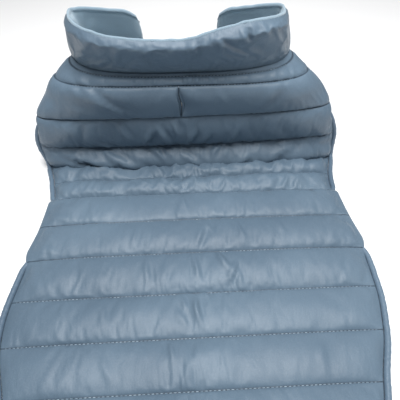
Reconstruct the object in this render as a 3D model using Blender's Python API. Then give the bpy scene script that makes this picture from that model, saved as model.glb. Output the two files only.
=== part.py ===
"""Dog winter coat: a quilted, padded back with a stand collar, shown resting on a surface.

The neck end stands up as a hollow C-shaped ring, and the rest of the back lies flat.
+X is the coat's right as seen from the tail, +Y points to the head, +Z is up, and the
origin is under the middle of the whole coat, on the surface it rests on.
Blender script, in metres; sizes below are in millimetres and scaled once by MM.
"""
import math
from typing import NamedTuple

import bmesh
import bpy
from mathutils import Vector

MM = 0.001

# ---------------------------------------------------------------- driving dimensions (mm)
CHANNEL = 40.0                  # distance between quilting lines on the cut panel
FIRST_STRIP = 14.0              # collar seam to the first quilting line
CREASE = FIRST_STRIP + 3 * CHANNEL      # where the standing part meets the flat part
BACK_LENGTH = 512.0             # collar seam to tail hem, along the middle
LAST_LINE = FIRST_STRIP + 12 * CHANNEL  # the quilting line next to the tail hem
SEAM_GAP = 0.3                  # clearance between pieces that are sewn together

LINE_WALL = 3.6                 # wall at a quilting line
OUTER_PUFF = 4.5                # how far a channel swells outwards
INNER_PUFF = 2.0                # how far it swells inwards
HEM_WALL = 4.5                  # thickness of the flat part at its sewn edge
ROWS_PER_CHANNEL = 4
BACK_COLUMNS = 8                # from the slot to each edge of the back
FRONT_COLUMNS = 7

SEAM_HEIGHT = 118.0             # collar seam above the surface, at the back of the neck
FAR_DROP = 10.0                 # how much lower the seam and collar are at the throat
THROAT_ANGLE = 155.0            # where the fronts and the collar end, from the middle
SHOULDER_ANGLE = 105.0          # where the back panel is sewn to the fronts
SHOULDER_GAP_ANGLE = 0.25       # half of the gap left at that seam
THROAT_CLOSES = 11.0            # how many degrees further round they reach at the surface
LEG_BACK_ANGLE = 84.0           # the back panel's edge of a leg opening
LEG_FRONT_ANGLE = 121.0         # the front's edge of a leg opening
LEG_TOP = 54.0                  # top of a leg opening, measured down the back panel
LEG_ARCH = 30.0                 # length of its rounded top
ARCH_ROWS = (LEG_TOP + 1.0, LEG_TOP + 4.0)      # extra rows where its edge turns
SECTION_POWER = 1.5             # 1 is an ellipse, more is flatter in front and behind
FRONT_HEM = CREASE + 5.0        # where the fronts end, on the surface
LAST_STANDING = CREASE - 1.0    # the lowest place where a standing surface's slope is read
HEM_CLEAR = 0.6                 # how high the fronts' inner face ends above the surface
PUFF_SPAN = 8                   # how squarely a channel's puff ends at a panel's two edges
HEM_SPAN = 6                    # how squarely the flat part falls to its sewn edge
SWELL_POWER = 0.8               # how full a channel's round section is

TAIL_ROUND = 182.0              # length of the rounding at the tail, were it to close
TAIL_START = 334.0              # where the sides begin to round in
TAIL_POWER = 2.3                # 2 is an ellipse, more is squarer
TAIL_ROWS = (1.2, 3.0, 5.5, 13.0)       # extra rows, as distances before the hem

COLLAR_HEIGHT = 38.0            # at the middle of the back
COLLAR_RISE = 6.0               # how much taller it stands at the sides
COLLAR_WALL = 6.0
COLLAR_PUFF = 3.0
COLLAR_CORNER = 12.0            # radius of the collar's two top corners
COLLAR_STEPS = 6                # rows up the collar's shell
COLLAR_COLUMNS = 26             # columns of the collar between its rounded ends
COLLAR_ENDS = (0.0, 0.78, 2.08, 4.16, 7.02, 11.05, 16.25)   # columns at an end, in degrees
LINING_WALL = 1.8
LINING_STEPS = 4                # rows up the lining inside the collar
LINING_ROLL = 2.6               # height of the roll of lining over the collar's top
ROLL_OUT = 0.8                  # how far the roll stands out past the collar's outer face

SLOT_TOP = FIRST_STRIP + 2.0
SLOT_BOTTOM = FIRST_STRIP + CHANNEL - 2.0
SLOT_ANGLE = -2.2               # the neck end stands turned a little, and the slot with it
SLOT_HALF_ANGLE = 1.0           # half-width of the leash slot in the panel
LIP_ANGLES = (0.22, 0.80)       # a lip's two edges, from the slot's middle
LIP_STANDS = 0.8                # how far a lip stands out of the panel
LIP_STEPS = 6                   # rows along a lip

PIPING_RADIUS = 2.7
PIPING_LIFT = 0.5               # keeps the piping just off the surface
PIPING_CLEAR = 2.6              # from the panel's edge, so that flat facets stay apart
TAIL_PIPING = 0.7               # share of the tail hem's corner that its piping turns within
TAIL_PIPING_STEPS = 4
CREASE_ANGLE = 50               # degrees; sharper edges are shaded as edges
SLOPE_STEP = 0.4                # distance over which a surface's slope is read


class Ring(NamedTuple):
    """One level of the standing ring."""
    height: float
    near_y: float       # its face towards the tail
    half_width: float
    near_depth: float   # from that face to its widest place
    far_depth: float    # from the widest place to the throat
    shift: float        # how far it leans sideways


RINGS = (
    Ring(0, 0, 157, 4, 78, 3),
    Ring(12, -8, 159, 16.5, 72.5, 2),
    Ring(27, 3, 160, 4.5, 72.5, 0),
    Ring(66, -6, 151, 16, 64, -2),
    Ring(86, -10, 137, 26, 58, -1),
    Ring(104, -15, 124, 36, 52, -4),
    Ring(118, -7, 106, 52, 28, -4),
)

# The collar's levels, as heights above the seam for a collar 100 tall.
COLLAR_RINGS = (
    Ring(0, -7, 106, 52, 28, -4),
    Ring(35, -12, 103, 50, 26, -5),
    Ring(70, -17, 101, 50, 24, -6),
    Ring(100, -21, 100, 50, 22, -7),
)


class Standing(NamedTuple):
    """A quilting line on the standing part."""
    down: float         # distance down the panel from the collar seam
    height: float
    droop: float        # how much lower it is at the sides
    lean: float         # how much higher its right end is, and lower its left end


STANDING_LINES = (
    Standing(0, 118, 0, 0),
    Standing(14, 109, 5, 0),
    Standing(54, 71.5, 2, 2.5),
    Standing(94, 29, -6.5, 2.5),
    Standing(134, 5, 0, 0),
)


class Lying(NamedTuple):
    """A quilting line on the flat part."""
    down: float
    run: float          # distance from the crease towards the tail
    height: float
    half_width: float
    bow: float          # how far its ends curve towards the head
    shift: float


LYING_LINES = (
    Lying(134, 0, 5, 157, 4, 3),
    Lying(174, 28, 6, 148, 3, 3),
    Lying(214, 54, 8, 144, 1, 4),
    Lying(254, 91, 10, 146, 0, 4),
    Lying(294, 130, 9, 151, 0, 3),
    Lying(334, 170, 6, 152, 0, 0),
    Lying(374, 209, 6, 149, 0, -3),
    Lying(414, 248, 6, 143, 0, -4),
    Lying(512, 346, 6, 143, 0, -4),
)


class Spread(NamedTuple):
    """How far round its section a row of the back panel reaches, below the leg opening's arch."""
    down: float
    angle: float


BACK_SPREAD = (
    Spread(84, LEG_BACK_ANGLE),
    Spread(134, 76),
    Spread(174, 65),
    Spread(214, 58),
    Spread(254, 52),
)

SHELL_COLOUR = (0.15, 0.21, 0.28, 1.0)
LINING_COLOUR = (0.24, 0.33, 0.41, 1.0)
PIPING_COLOUR = (0.10, 0.14, 0.19, 1.0)


# ---------------------------------------------------------------- reading the tables
def smooth_between(table, key, column, place):
    """Reads a column of a table at a place between its rows, as a smooth curve."""
    keys = [getattr(row, key) for row in table]
    values = [getattr(row, column) for row in table]
    if place <= keys[0]:
        return values[0]
    if place >= keys[-1]:
        return values[-1]
    index = max(i for i in range(len(keys) - 1) if keys[i] <= place)
    slopes = [(values[i + 1] - values[i]) / (keys[i + 1] - keys[i])
              for i in range(len(keys) - 1)]

    def tangent(i):
        if i == 0 or i == len(keys) - 1:
            return slopes[0 if i == 0 else -1]
        before, after = slopes[i - 1], slopes[i]
        return 0.0 if before * after <= 0 else 2 * before * after / (before + after)

    span = keys[index + 1] - keys[index]
    u = (place - keys[index]) / span
    return ((2 * u ** 3 - 3 * u ** 2 + 1) * values[index]
            + (u ** 3 - 2 * u ** 2 + u) * span * tangent(index)
            + (-2 * u ** 3 + 3 * u ** 2) * values[index + 1]
            + (u ** 3 - u ** 2) * span * tangent(index + 1))


def ease(u):
    """Goes from 0 to 1 with a soft start and end."""
    u = min(max(u, 0.0), 1.0)
    return u * u * (3 - 2 * u)


def section(angle):
    """Depth of a ring at an angle in degrees from its middle, as near and far shares."""
    cosine = math.cos(math.radians(abs(angle)))
    if cosine >= 0:
        return (1 - cosine) ** SECTION_POWER, 0.0
    return 1.0, 1 - (1 + cosine) ** SECTION_POWER


def ring_point(rings, level, angle, height):
    """Point of a ring at a level of its table, raised to a height."""
    def read(column):
        return smooth_between(rings, "height", column, level)

    near, far = section(angle)
    return Vector((read("shift") + read("half_width") * math.sin(math.radians(angle)),
                   read("near_y") + read("near_depth") * near + read("far_depth") * far,
                   height))


def far_drop(angle):
    """How much lower the seam and the collar lie behind the widest place."""
    return FAR_DROP * max(0.0, -math.cos(math.radians(angle))) ** 2


# ---------------------------------------------------------------- surfaces
def standing_point(angle, down):
    """Point of the standing ring's outer face at a quilting-line level."""
    height = smooth_between(STANDING_LINES, "down", "height", down)
    droop = smooth_between(STANDING_LINES, "down", "droop", down)
    lean = smooth_between(STANDING_LINES, "down", "lean", down)
    level = height - droop * (1 - math.cos(math.radians(angle)))
    level += lean * math.sin(math.radians(angle))
    share = ease(level / SEAM_HEIGHT)
    return ring_point(RINGS, level, angle, level - share * far_drop(angle))


def leg_opening(down):
    """Share of its full width that a leg opening has, rounded at the top."""
    below = min(max((down - LEG_TOP) / LEG_ARCH, 0.0), 1.0)
    return math.sqrt(1 - (1 - below) ** 2)


def back_spread(down):
    """Angle from the middle to the back panel's edge."""
    sewn = SHOULDER_ANGLE - SHOULDER_GAP_ANGLE
    if down < LEG_TOP + LEG_ARCH:
        return sewn + (LEG_BACK_ANGLE - sewn) * leg_opening(down)
    return smooth_between(BACK_SPREAD, "down", "angle", down)


def tail_share(down):
    """Share of its width that the flat part keeps in the rounded tail."""
    into = max(down - TAIL_START, 0.0) / TAIL_ROUND
    return (1 - into ** TAIL_POWER) ** (1 / TAIL_POWER)


def lying_point(angle, down, spread):
    """Point of the flat part's upper face."""
    def read(column):
        return smooth_between(LYING_LINES, "down", column, down)

    reach = math.sin(math.radians(angle)) / math.sin(math.radians(spread))
    side = abs(reach) ** HEM_SPAN
    return Vector((read("shift") + read("half_width") * reach * tail_share(down),
                   read("bow") * section(angle)[0] - read("run"),
                   read("height") * (1 - side) + HEM_WALL * side))


def back_point(share, down):
    """Point of the back panel; share runs from -1 at its left edge to 1 at its right."""
    spread = back_spread(down)
    angle = share * spread
    if down > CREASE:
        return lying_point(angle, down, spread)
    widen = 1 / math.sin(math.radians(min(spread, 90.0)))
    point = standing_point(angle, down)
    middle = standing_point(0.0, down)
    return Vector((middle.x + (point.x - middle.x) * widen, point.y, point.z))


def front_point(share, down, side):
    """Point of a front; share is 0 at the shoulder or leg edge and 1 at the throat."""
    start = SHOULDER_ANGLE + SHOULDER_GAP_ANGLE
    start += (LEG_FRONT_ANGLE - start) * leg_opening(down)
    end = THROAT_ANGLE + THROAT_CLOSES * down / CREASE
    return standing_point(side * (start + (end - start) * share), down)


def collar_height(angle):
    """Height of the collar at an angle round the neck."""
    turn = math.sin(math.radians(min(abs(angle), 90.0))) ** 2
    return COLLAR_HEIGHT + COLLAR_RISE * turn


def collar_point(angle, level):
    """Point of the collar's outer face; level is 0 at the seam and 1 at the top."""
    height = SEAM_HEIGHT + SEAM_GAP - far_drop(angle) + level * collar_height(angle)
    return ring_point(COLLAR_RINGS, 100 * level, angle, height)


def channel_swell(down):
    """0 at a quilting line or hem and 1 in the middle of a channel."""
    into = (down - FIRST_STRIP) / CHANNEL
    if down < FIRST_STRIP:
        into = down / FIRST_STRIP
    elif down > LAST_LINE:
        into = (down - LAST_LINE) / (BACK_LENGTH - LAST_LINE)
    return math.sin(math.pi * (into % 1.0)) ** SWELL_POWER


def normal_of(surface, first, second):
    """Outward normal of a surface of two numbers, by small steps along both."""
    small = SLOPE_STEP / 200
    across = surface(first + small, second) - surface(first - small, second)
    along = surface(first, second + SLOPE_STEP) - surface(first, second - SLOPE_STEP)
    return along.cross(across).normalized()


# ---------------------------------------------------------------- meshes
def new_object(name, vertices, faces, material):
    """Makes a closed, outward-facing, smooth-shaded object from millimetre points."""
    mesh = bpy.data.meshes.new(name)
    mesh.from_pydata([point * MM for point in vertices], [], faces)
    body = bmesh.new()
    body.from_mesh(mesh)
    bmesh.ops.recalc_face_normals(body, faces=body.faces)
    body.to_mesh(mesh)
    body.free()
    mesh.materials.append(material)
    mesh.shade_smooth()
    mesh.set_sharp_from_angle(angle=math.radians(CREASE_ANGLE))
    made = bpy.data.objects.new(name, mesh)
    bpy.context.scene.collection.objects.link(made)
    return made


def cloth_wall(name, outer, inner, material, holes=()):
    """Closes two grids of points, row by row, into a wall; holes are cells left out."""
    rows, columns = len(outer), len(outer[0])
    vertices = [point for grid in (outer, inner) for row in grid for point in row]
    layer = rows * columns
    cells = {(r, c) for r in range(rows - 1) for c in range(columns - 1)} - set(holes)
    faces = []
    for r, c in sorted(cells):
        a, b = r * columns + c, r * columns + c + 1
        d, e = a + columns, b + columns
        faces.append((a, b, e, d))
        faces.append((layer + a, layer + d, layer + e, layer + b))
        edges = (((r, c - 1), a, d), ((r, c + 1), b, e), ((r - 1, c), a, b), ((r + 1, c), d, e))
        for neighbour, start, end in edges:
            if neighbour not in cells:
                faces.append((start, end, layer + end, layer + start))
    return new_object(name, vertices, faces, material)


def fabric(name, colour, roughness):
    """A plain cloth material."""
    made = bpy.data.materials.new(name)
    made.use_nodes = True
    shader = made.node_tree.nodes["Principled BSDF"]
    shader.inputs["Base Color"].default_value = colour
    shader.inputs["Roughness"].default_value = roughness
    return made


def even_steps(start, end, count):
    """Evenly spaced numbers with both ends."""
    return [start + (end - start) * i / count for i in range(count + 1)]


def panel_rows(end, extra=()):
    """Distances down a panel: each quilting line, steps between them, and any extra rows."""
    rows = even_steps(0.0, FIRST_STRIP, 2)
    while rows[-1] + CHANNEL / ROWS_PER_CHANNEL < end - 1:
        rows.append(rows[-1] + CHANNEL / ROWS_PER_CHANNEL)
    return sorted(set(rows + [end] + list(extra)))


def back_rows():
    """The back panel's rows, closer at the leg openings' tops, the slot and the tail."""
    tail = [BACK_LENGTH - before for before in TAIL_ROWS]
    slot = [SLOT_TOP, FIRST_STRIP + CHANNEL / 2, SLOT_BOTTOM]
    return panel_rows(BACK_LENGTH, list(ARCH_ROWS) + tail + slot)


# ---------------------------------------------------------------- the back
def back_wall_points(share, down):
    """Outer and inner points of the padded back at a place on the panel."""
    place = back_point(share, down)
    swell = channel_swell(down) * (1 - abs(share) ** PUFF_SPAN)
    if down > CREASE:
        return place + Vector((0, 0, OUTER_PUFF * swell)), Vector((place.x, place.y, 0.0))
    normal = normal_of(back_point, share, down)
    if down < 1.0:
        normal = Vector((normal.x, normal.y, 0.0)).normalized()
    inner = place - normal * (LINE_WALL + INNER_PUFF * swell)
    inner.z = max(inner.z, 0.0) if down < CREASE else 0.0
    return place + normal * (OUTER_PUFF * swell), inner


def make_back(material):
    """The back and yoke, one quilted piece with the leash slot cut through it."""
    slot_left = (SLOT_ANGLE - SLOT_HALF_ANGLE) / SHOULDER_ANGLE
    slot_right = (SLOT_ANGLE + SLOT_HALF_ANGLE) / SHOULDER_ANGLE
    shares = even_steps(-1.0, slot_left, BACK_COLUMNS)
    shares += even_steps(slot_right, 1.0, BACK_COLUMNS)
    rows = back_rows()
    grid = [[back_wall_points(share, down) for share in shares] for down in rows]
    outer = [[pair[0] for pair in row] for row in grid]
    inner = [[pair[1] for pair in row] for row in grid]
    slot = [(r, BACK_COLUMNS) for r in range(len(rows) - 1)
            if SLOT_TOP <= rows[r] and rows[r + 1] <= SLOT_BOTTOM]
    return cloth_wall("back_panel", outer, inner, material, slot)


def make_lip(name, side, material):
    """One bound lip inside the leash slot, through the panel's thickness."""
    near, far = ((SLOT_ANGLE + side * angle) / SHOULDER_ANGLE for angle in LIP_ANGLES)
    outer, inner = [], []
    for down in even_steps(SLOT_TOP + SEAM_GAP, SLOT_BOTTOM - SEAM_GAP, LIP_STEPS):
        normal = normal_of(back_point, near, down)
        stand = OUTER_PUFF * channel_swell(down) + LIP_STANDS
        pair = [back_point(share, down) for share in (near, far)]
        outer.append([point + normal * stand for point in pair])
        inner.append([point - normal * LINE_WALL for point in pair])
    return cloth_wall(name, outer, inner, material)


# ---------------------------------------------------------------- the fronts
def make_front(name, side, material):
    """A front from the shoulder seam and leg opening to the throat, down to the surface."""
    outer, inner = [], []
    for down in panel_rows(FRONT_HEM, ARCH_ROWS):
        at_floor = down == FRONT_HEM
        outer.append([])
        inner.append([])
        for share in even_steps(0.0, 1.0, FRONT_COLUMNS):
            def surface(first, second):
                return front_point(first, second, side)

            place = surface(share, min(down, LAST_STANDING))
            normal = normal_of(surface, share, min(down, LAST_STANDING)) * side
            if down < 1.0 or at_floor:
                normal = Vector((normal.x, normal.y, 0.0)).normalized()
            swell = channel_swell(down) * (1 - abs(2 * share - 1) ** PUFF_SPAN)
            if down >= CREASE:
                swell = 0.0
                place.z = 0.0 if at_floor else place.z
            inside = place - normal * (LINE_WALL + INNER_PUFF * swell)
            inside.z = 0.0 if at_floor else max(inside.z, HEM_CLEAR)
            outer[-1].append(place + normal * (OUTER_PUFF * swell))
            inner[-1].append(inside)
    return cloth_wall(name, outer, inner, material)


# ---------------------------------------------------------------- the collar
def collar_angles():
    """Angles round the neck, closer together at the two rounded ends."""
    ends = [THROAT_ANGLE - before for before in COLLAR_ENDS]
    middle = even_steps(-ends[-1], ends[-1], COLLAR_COLUMNS)
    return [-angle for angle in ends[:-1]] + middle + list(reversed(ends[:-1]))


def corner_cut(angle):
    """How much lower the collar's top is inside its rounded corners."""
    end = collar_point(math.copysign(THROAT_ANGLE, angle), 1.0)
    to_end = (collar_point(angle, 1.0) - end).length
    inside = min(to_end, COLLAR_CORNER)
    return COLLAR_CORNER - math.sqrt(COLLAR_CORNER ** 2 - (COLLAR_CORNER - inside) ** 2)


def collar_frame(angle, level):
    """Outer point of the collar and its level outward direction."""
    def surface(first, second):
        return collar_point(first * 90.0, 1.0 - second / 100.0)

    normal = normal_of(surface, angle / 90.0, (1.0 - level) * 100.0)
    return collar_point(angle, level), Vector((normal.x, normal.y, 0.0)).normalized()


def make_collar_shell(material):
    """The collar's padded outer layer, without quilting."""
    outer, inner = [], []
    for step in even_steps(0.0, 1.0, COLLAR_STEPS):
        outer.append([])
        inner.append([])
        for angle in collar_angles():
            level = step * (1 - corner_cut(angle) / collar_height(angle))
            place, outward = collar_frame(angle, level)
            puff = COLLAR_PUFF * math.sin(math.pi * step)
            outer[-1].append(place + outward * puff)
            inner[-1].append(place - outward * COLLAR_WALL)
    return cloth_wall("collar_shell", outer, inner, material)


def make_collar_lining(material):
    """The lining inside the collar, rolled over its top edge."""
    face = COLLAR_WALL + SEAM_GAP
    back = face + LINING_WALL
    steps = even_steps(0.0, 1.0, LINING_STEPS)
    rows = []
    for angle in collar_angles():
        cut = corner_cut(angle) / collar_height(angle)
        up = [collar_frame(angle, step * (1 - cut)) for step in steps]
        top, outward = up[-1]
        roll = ((face, SEAM_GAP), (-ROLL_OUT / 2, SEAM_GAP), (-ROLL_OUT, LINING_ROLL / 2),
                (back * 0.15, LINING_ROLL), (back * 0.5, LINING_ROLL + 2 * SEAM_GAP),
                (back - 2 * SEAM_GAP, LINING_ROLL - SEAM_GAP), (back, 2 * SEAM_GAP))
        loop = [place - way * face for place, way in up[:-1]]
        loop += [top - outward * inward + Vector((0, 0, rise)) for inward, rise in roll]
        loop += [place - way * back for place, way in reversed(up[:-1])]
        rows.append(loop)
    count = len(rows[0])
    faces = [(r * count + i, r * count + (i + 1) % count,
              (r + 1) * count + (i + 1) % count, (r + 1) * count + i)
             for r in range(len(rows) - 1) for i in range(count)]
    last = (len(rows) - 1) * count
    faces.append(tuple(range(count)))
    faces.append(tuple(last + i for i in reversed(range(count))))
    return new_object("collar_lining", [p for row in rows for p in row], faces, material)


# ---------------------------------------------------------------- the piping
def edge_places(side):
    """Edge points on one side, from a front's hem over the leg opening to the tail.

    Each has the outward normal of the cloth there and the wall's middle below it."""
    places = []
    front_rows = [down for down in panel_rows(CREASE, ARCH_ROWS) if down > LEG_TOP]

    def front(first, second):
        return front_point(first, second, side)

    for down in reversed(front_rows):
        normal = normal_of(front, 0.0, min(down, LAST_STANDING)) * side
        places.append((front(0.0, down), normal, LINE_WALL / 2))
    arch = (front_point(0.0, LEG_TOP, side) + back_point(side, LEG_TOP)) / 2
    places.append((arch, normal_of(back_point, side, LEG_TOP), LINE_WALL / 2))
    for down in back_rows():
        if LEG_TOP < down <= CREASE:
            normal = normal_of(back_point, side, down)
            places.append((back_point(side, down), normal, LINE_WALL / 2))
        if down > CREASE:
            places.append((back_point(side, down), Vector((0, 0, 1)), HEM_WALL / 2))
    return places


def piping_path():
    """Points of the piping, from the left front's hem round the tail to the right one's."""
    left, right = edge_places(-1), edge_places(1)
    corner = left[-1][0]
    hem = [(Vector((corner.x * share, corner.y, corner.z)), Vector((0, 0, 1)), HEM_WALL / 2)
           for share in even_steps(TAIL_PIPING, -TAIL_PIPING, TAIL_PIPING_STEPS)]
    places = left + hem + list(reversed(right))
    path = []
    for index, (point, normal, depth) in enumerate(places):
        before = places[max(index - 1, 0)][0]
        after = places[min(index + 1, len(places) - 1)][0]
        along = (after - before).normalized()
        outward = normal.cross(along).normalized()
        centre = point - normal * depth - outward * (PIPING_RADIUS + PIPING_CLEAR)
        centre.z = max(centre.z, PIPING_RADIUS + PIPING_LIFT)
        path.append(centre)
    return path


def make_piping(material):
    """Corded piping along the sides and the tail, as one length."""
    path = piping_path()
    curve = bpy.data.curves.new("edge_piping", "CURVE")
    curve.dimensions = "3D"
    curve.bevel_depth = PIPING_RADIUS * MM
    curve.bevel_resolution = 2
    curve.use_fill_caps = True
    spline = curve.splines.new("POLY")
    spline.points.add(len(path) - 1)
    for control, point in zip(spline.points, path):
        control.co = (*(point * MM), 1.0)
    curve.materials.append(material)
    made = bpy.data.objects.new("edge_piping", curve)
    bpy.context.scene.collection.objects.link(made)
    return made


def move_to_origin(objects):
    """Puts the origin under the middle of the coat's box, on the surface."""
    bpy.context.view_layer.update()
    corners = [made.matrix_world @ Vector(c) for made in objects for c in made.bound_box]
    middle = [(min(c[i] for c in corners) + max(c[i] for c in corners)) / 2 for i in range(2)]
    floor = min(c.z for c in corners)
    for made in objects:
        made.location = (-middle[0], -middle[1], -floor)


def main():
    """Clears the scene and builds the coat."""
    for old in list(bpy.data.objects):
        bpy.data.objects.remove(old)
    shell = fabric("shell_fabric", SHELL_COLOUR, 0.45)
    lining = fabric("collar_lining_fabric", LINING_COLOUR, 0.85)
    piping = fabric("piping_fabric", PIPING_COLOUR, 0.5)
    pieces = [
        make_back(shell),
        make_front("front_left", -1, shell),
        make_front("front_right", 1, shell),
        make_lip("slot_lip_left", -1, shell),
        make_lip("slot_lip_right", 1, shell),
        make_collar_shell(shell),
        make_collar_lining(lining),
        make_piping(piping),
    ]
    move_to_origin(pieces)


main()
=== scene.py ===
"""Looks of the quilted dog winter coat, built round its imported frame.

Every piece is worked out in the coat's own millimetres: the crease between the standing neck
end and the flat back is y = 0, +Y points to the head, and the surface it rests on is z = 0.
A place on a panel is (across, down): across from its middle line, down from the collar seam.
"""
from __future__ import annotations

import logging
import math
from dataclasses import dataclass
from enum import Enum
from typing import NamedTuple

import bpy
import numpy as np
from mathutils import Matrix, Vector

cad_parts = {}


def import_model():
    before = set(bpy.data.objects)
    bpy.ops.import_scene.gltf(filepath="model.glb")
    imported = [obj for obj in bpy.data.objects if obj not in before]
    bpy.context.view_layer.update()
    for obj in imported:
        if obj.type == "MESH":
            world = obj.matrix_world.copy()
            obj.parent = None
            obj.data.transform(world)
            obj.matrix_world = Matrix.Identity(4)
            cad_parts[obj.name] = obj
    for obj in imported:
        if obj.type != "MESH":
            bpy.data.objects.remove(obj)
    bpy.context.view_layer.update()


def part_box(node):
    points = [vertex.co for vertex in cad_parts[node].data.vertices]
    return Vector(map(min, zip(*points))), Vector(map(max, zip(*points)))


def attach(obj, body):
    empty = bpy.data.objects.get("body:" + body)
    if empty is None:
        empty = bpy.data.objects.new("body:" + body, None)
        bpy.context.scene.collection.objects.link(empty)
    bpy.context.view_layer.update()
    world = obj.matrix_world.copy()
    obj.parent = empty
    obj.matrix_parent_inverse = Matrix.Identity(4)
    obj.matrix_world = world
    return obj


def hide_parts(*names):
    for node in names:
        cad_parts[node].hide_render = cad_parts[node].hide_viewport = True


MM = 0.001
BODY = "root"
LOG = logging.getLogger("winter_coat")
Array = np.ndarray


class Side(Enum):
    """The two sides of the coat, seen from the tail."""

    LEFT = -1
    RIGHT = 1


# ------------------------------------------------------------------ small helpers
def unit(vectors: Array) -> Array:
    """Returns the vectors at length one."""
    return vectors / np.maximum(np.linalg.norm(vectors, axis=-1, keepdims=True), 1e-9)


def ease(share: Array) -> Array:
    """Returns 0 to 1 with a soft start and end."""
    share = np.clip(share, 0.0, 1.0)
    return share * share * (3 - 2 * share)


def stack(x: Array, y: Array, z: Array) -> Array:
    """Joins three fields into points."""
    return np.stack(np.broadcast_arrays(x, y, z), axis=-1).astype(float)


def read_table(table: tuple, key: str, column: str, places: Array) -> Array:
    """Reads a column of a table between its rows, as a smooth curve without overshoot.

    Args:
        table: Rows with named columns, in rising order of the key.
        key: Column that the places are given in.
        column: Column to read.
        places: Where to read it.

    Returns:
        The column's value at each place.
    """
    keys = np.array([getattr(row, key) for row in table], float)
    values = np.array([getattr(row, column) for row in table], float)
    gaps = np.diff(keys)
    slopes = np.diff(values) / gaps
    product = slopes[:-1] * slopes[1:]
    total = slopes[:-1] + slopes[1:]
    inner = np.where(product > 0, 2 * product / np.where(total == 0, 1, total), 0)
    tangents = np.concatenate([slopes[:1], inner, slopes[-1:]])
    held = np.clip(places, keys[0], keys[-1])
    index = np.clip(np.searchsorted(keys, held, side="right") - 1, 0, len(keys) - 2)
    span = gaps[index]
    u = (held - keys[index]) / span
    return ((2 * u ** 3 - 3 * u ** 2 + 1) * values[index]
            + (u ** 3 - 2 * u ** 2 + u) * span * tangents[index]
            + (3 * u ** 2 - 2 * u ** 3) * values[index + 1]
            + (u ** 3 - u ** 2) * span * tangents[index + 1])


def grid_normals(points: Array, turned: bool = False) -> Array:
    """Returns the outward normals of a grid of points whose rows run down and columns across."""
    down = np.gradient(points, axis=0)
    across = np.gradient(points, axis=1)
    normals = unit(np.cross(down, across))
    return -normals if turned else normals


class SoftNoise:
    """Smooth, repeatable unevenness between 0 and 1 over a panel."""

    def __init__(self, seed: int, cell_across: float, cell_down: float) -> None:
        """Keeps a lattice of seeded values; the cells are in millimetres."""
        self.lattice = np.random.RandomState(seed).rand(97, 101)
        self.cells = (cell_across, cell_down)

    def __call__(self, across: Array, down: Array) -> Array:
        """Returns the value at each place."""
        u, v = across / self.cells[0] + 300.0, down / self.cells[1] + 300.0
        i, j = np.floor(u).astype(int), np.floor(v).astype(int)
        s, t = ease(u - i), ease(v - j)
        rows, columns = self.lattice.shape

        def corner(di: int, dj: int) -> Array:
            """Returns a lattice value next to each place."""
            return self.lattice[(i + di) % rows, (j + dj) % columns]

        near = corner(0, 0) * (1 - s) + corner(1, 0) * s
        far = corner(0, 1) * (1 - s) + corner(1, 1) * s
        return near * (1 - t) + far * t


class Crease(NamedTuple):
    """A soft ridge with a trough beside it; a negative rise presses the ridge in instead."""

    across: float
    down: float
    turn: float         # degrees from straight down; its lower end leans to the coat's right
    length: float
    width: float
    rise: float
    bend: float = 0.0   # how far its ends curve to the side


def crease_field(creases: tuple[Crease, ...], across: Array, down: Array) -> Array:
    """Adds up the creases of a panel.

    Args:
        creases: The creases, in the panel's millimetres.
        across: Distance of each place from the middle line.
        down: Distance of each place from the collar seam.

    Returns:
        How far each place stands out, in millimetres.
    """
    total = np.zeros(np.broadcast(across, down).shape)
    for crease in creases:
        turn = math.radians(crease.turn)
        aside, below = across - crease.across, down - crease.down
        along = 2 * (aside * math.sin(turn) + below * math.cos(turn)) / crease.length
        off = aside * math.cos(turn) - below * math.sin(turn) - crease.bend * along ** 2
        fade = np.clip(1 - along ** 2, 0, 1) ** 1.5
        place = off / crease.width
        total += crease.rise * fade * (np.exp(-place ** 2) - 0.5 * np.exp(-(place - 1.7) ** 2))
    return total


# ------------------------------------------------------------------ the coat's form
class Ring(NamedTuple):
    """One level of the standing neck end."""

    height: float
    near_y: float
    half_width: float
    near_depth: float
    far_depth: float
    shift: float


class Standing(NamedTuple):
    """A quilting line on the standing part."""

    down: float
    height: float
    droop: float
    lean: float


class Lying(NamedTuple):
    """A quilting line on the flat part."""

    down: float
    run: float
    height: float
    half_width: float
    bow: float
    shift: float


class Spread(NamedTuple):
    """How far round its section a row of the back reaches, below the leg opening's arch."""

    down: float
    angle: float


RINGS = (
    Ring(0, 0, 157, 4, 78, 3),
    Ring(12, -8, 159, 16.5, 72.5, 2),
    Ring(27, 3, 160, 4.5, 72.5, 0),
    Ring(66, -6, 151, 16, 64, -2),
    Ring(86, -10, 137, 26, 58, -1),
    Ring(104, -15, 124, 36, 52, -4),
    Ring(118, -7, 106, 52, 28, -4),
)
COLLAR_RINGS = (
    Ring(0, -7, 106, 52, 28, -4),
    Ring(35, -12, 103, 50, 26, -5),
    Ring(70, -17, 101, 50, 24, -6),
    Ring(100, -21, 100, 50, 22, -7),
)
STANDING_LINES = (
    Standing(0, 118, 0, 0),
    Standing(14, 109, 5, 0),
    Standing(54, 71.5, 2, 2.5),
    Standing(94, 29, -6.5, 2.5),
    Standing(134, 5, 0, 0),
)
LYING_LINES = (
    Lying(134, 0, 5, 157, 4, 3),
    Lying(174, 28, 6, 148, 3, 3),
    Lying(214, 54, 8, 144, 1, 4),
    Lying(254, 91, 10, 146, 0, 4),
    Lying(294, 130, 9, 151, 0, 3),
    Lying(334, 170, 6, 152, 0, 0),
    Lying(374, 209, 6, 149, 0, -3),
    Lying(414, 248, 6, 143, 0, -4),
    Lying(512, 346, 6, 143, 0, -4),
)
STRIP_ROWS = (0.0, 1.8, 3.0, 3.6, 4.2, 5.4, 7.4, 9.6, 11.6, 12.8)   # above the first line
FRONT_LINES = 3                 # quilting lines on a front
BACK_SPREAD = (Spread(84, 84), Spread(134, 76), Spread(174, 65), Spread(214, 58), Spread(254, 52))


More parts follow.
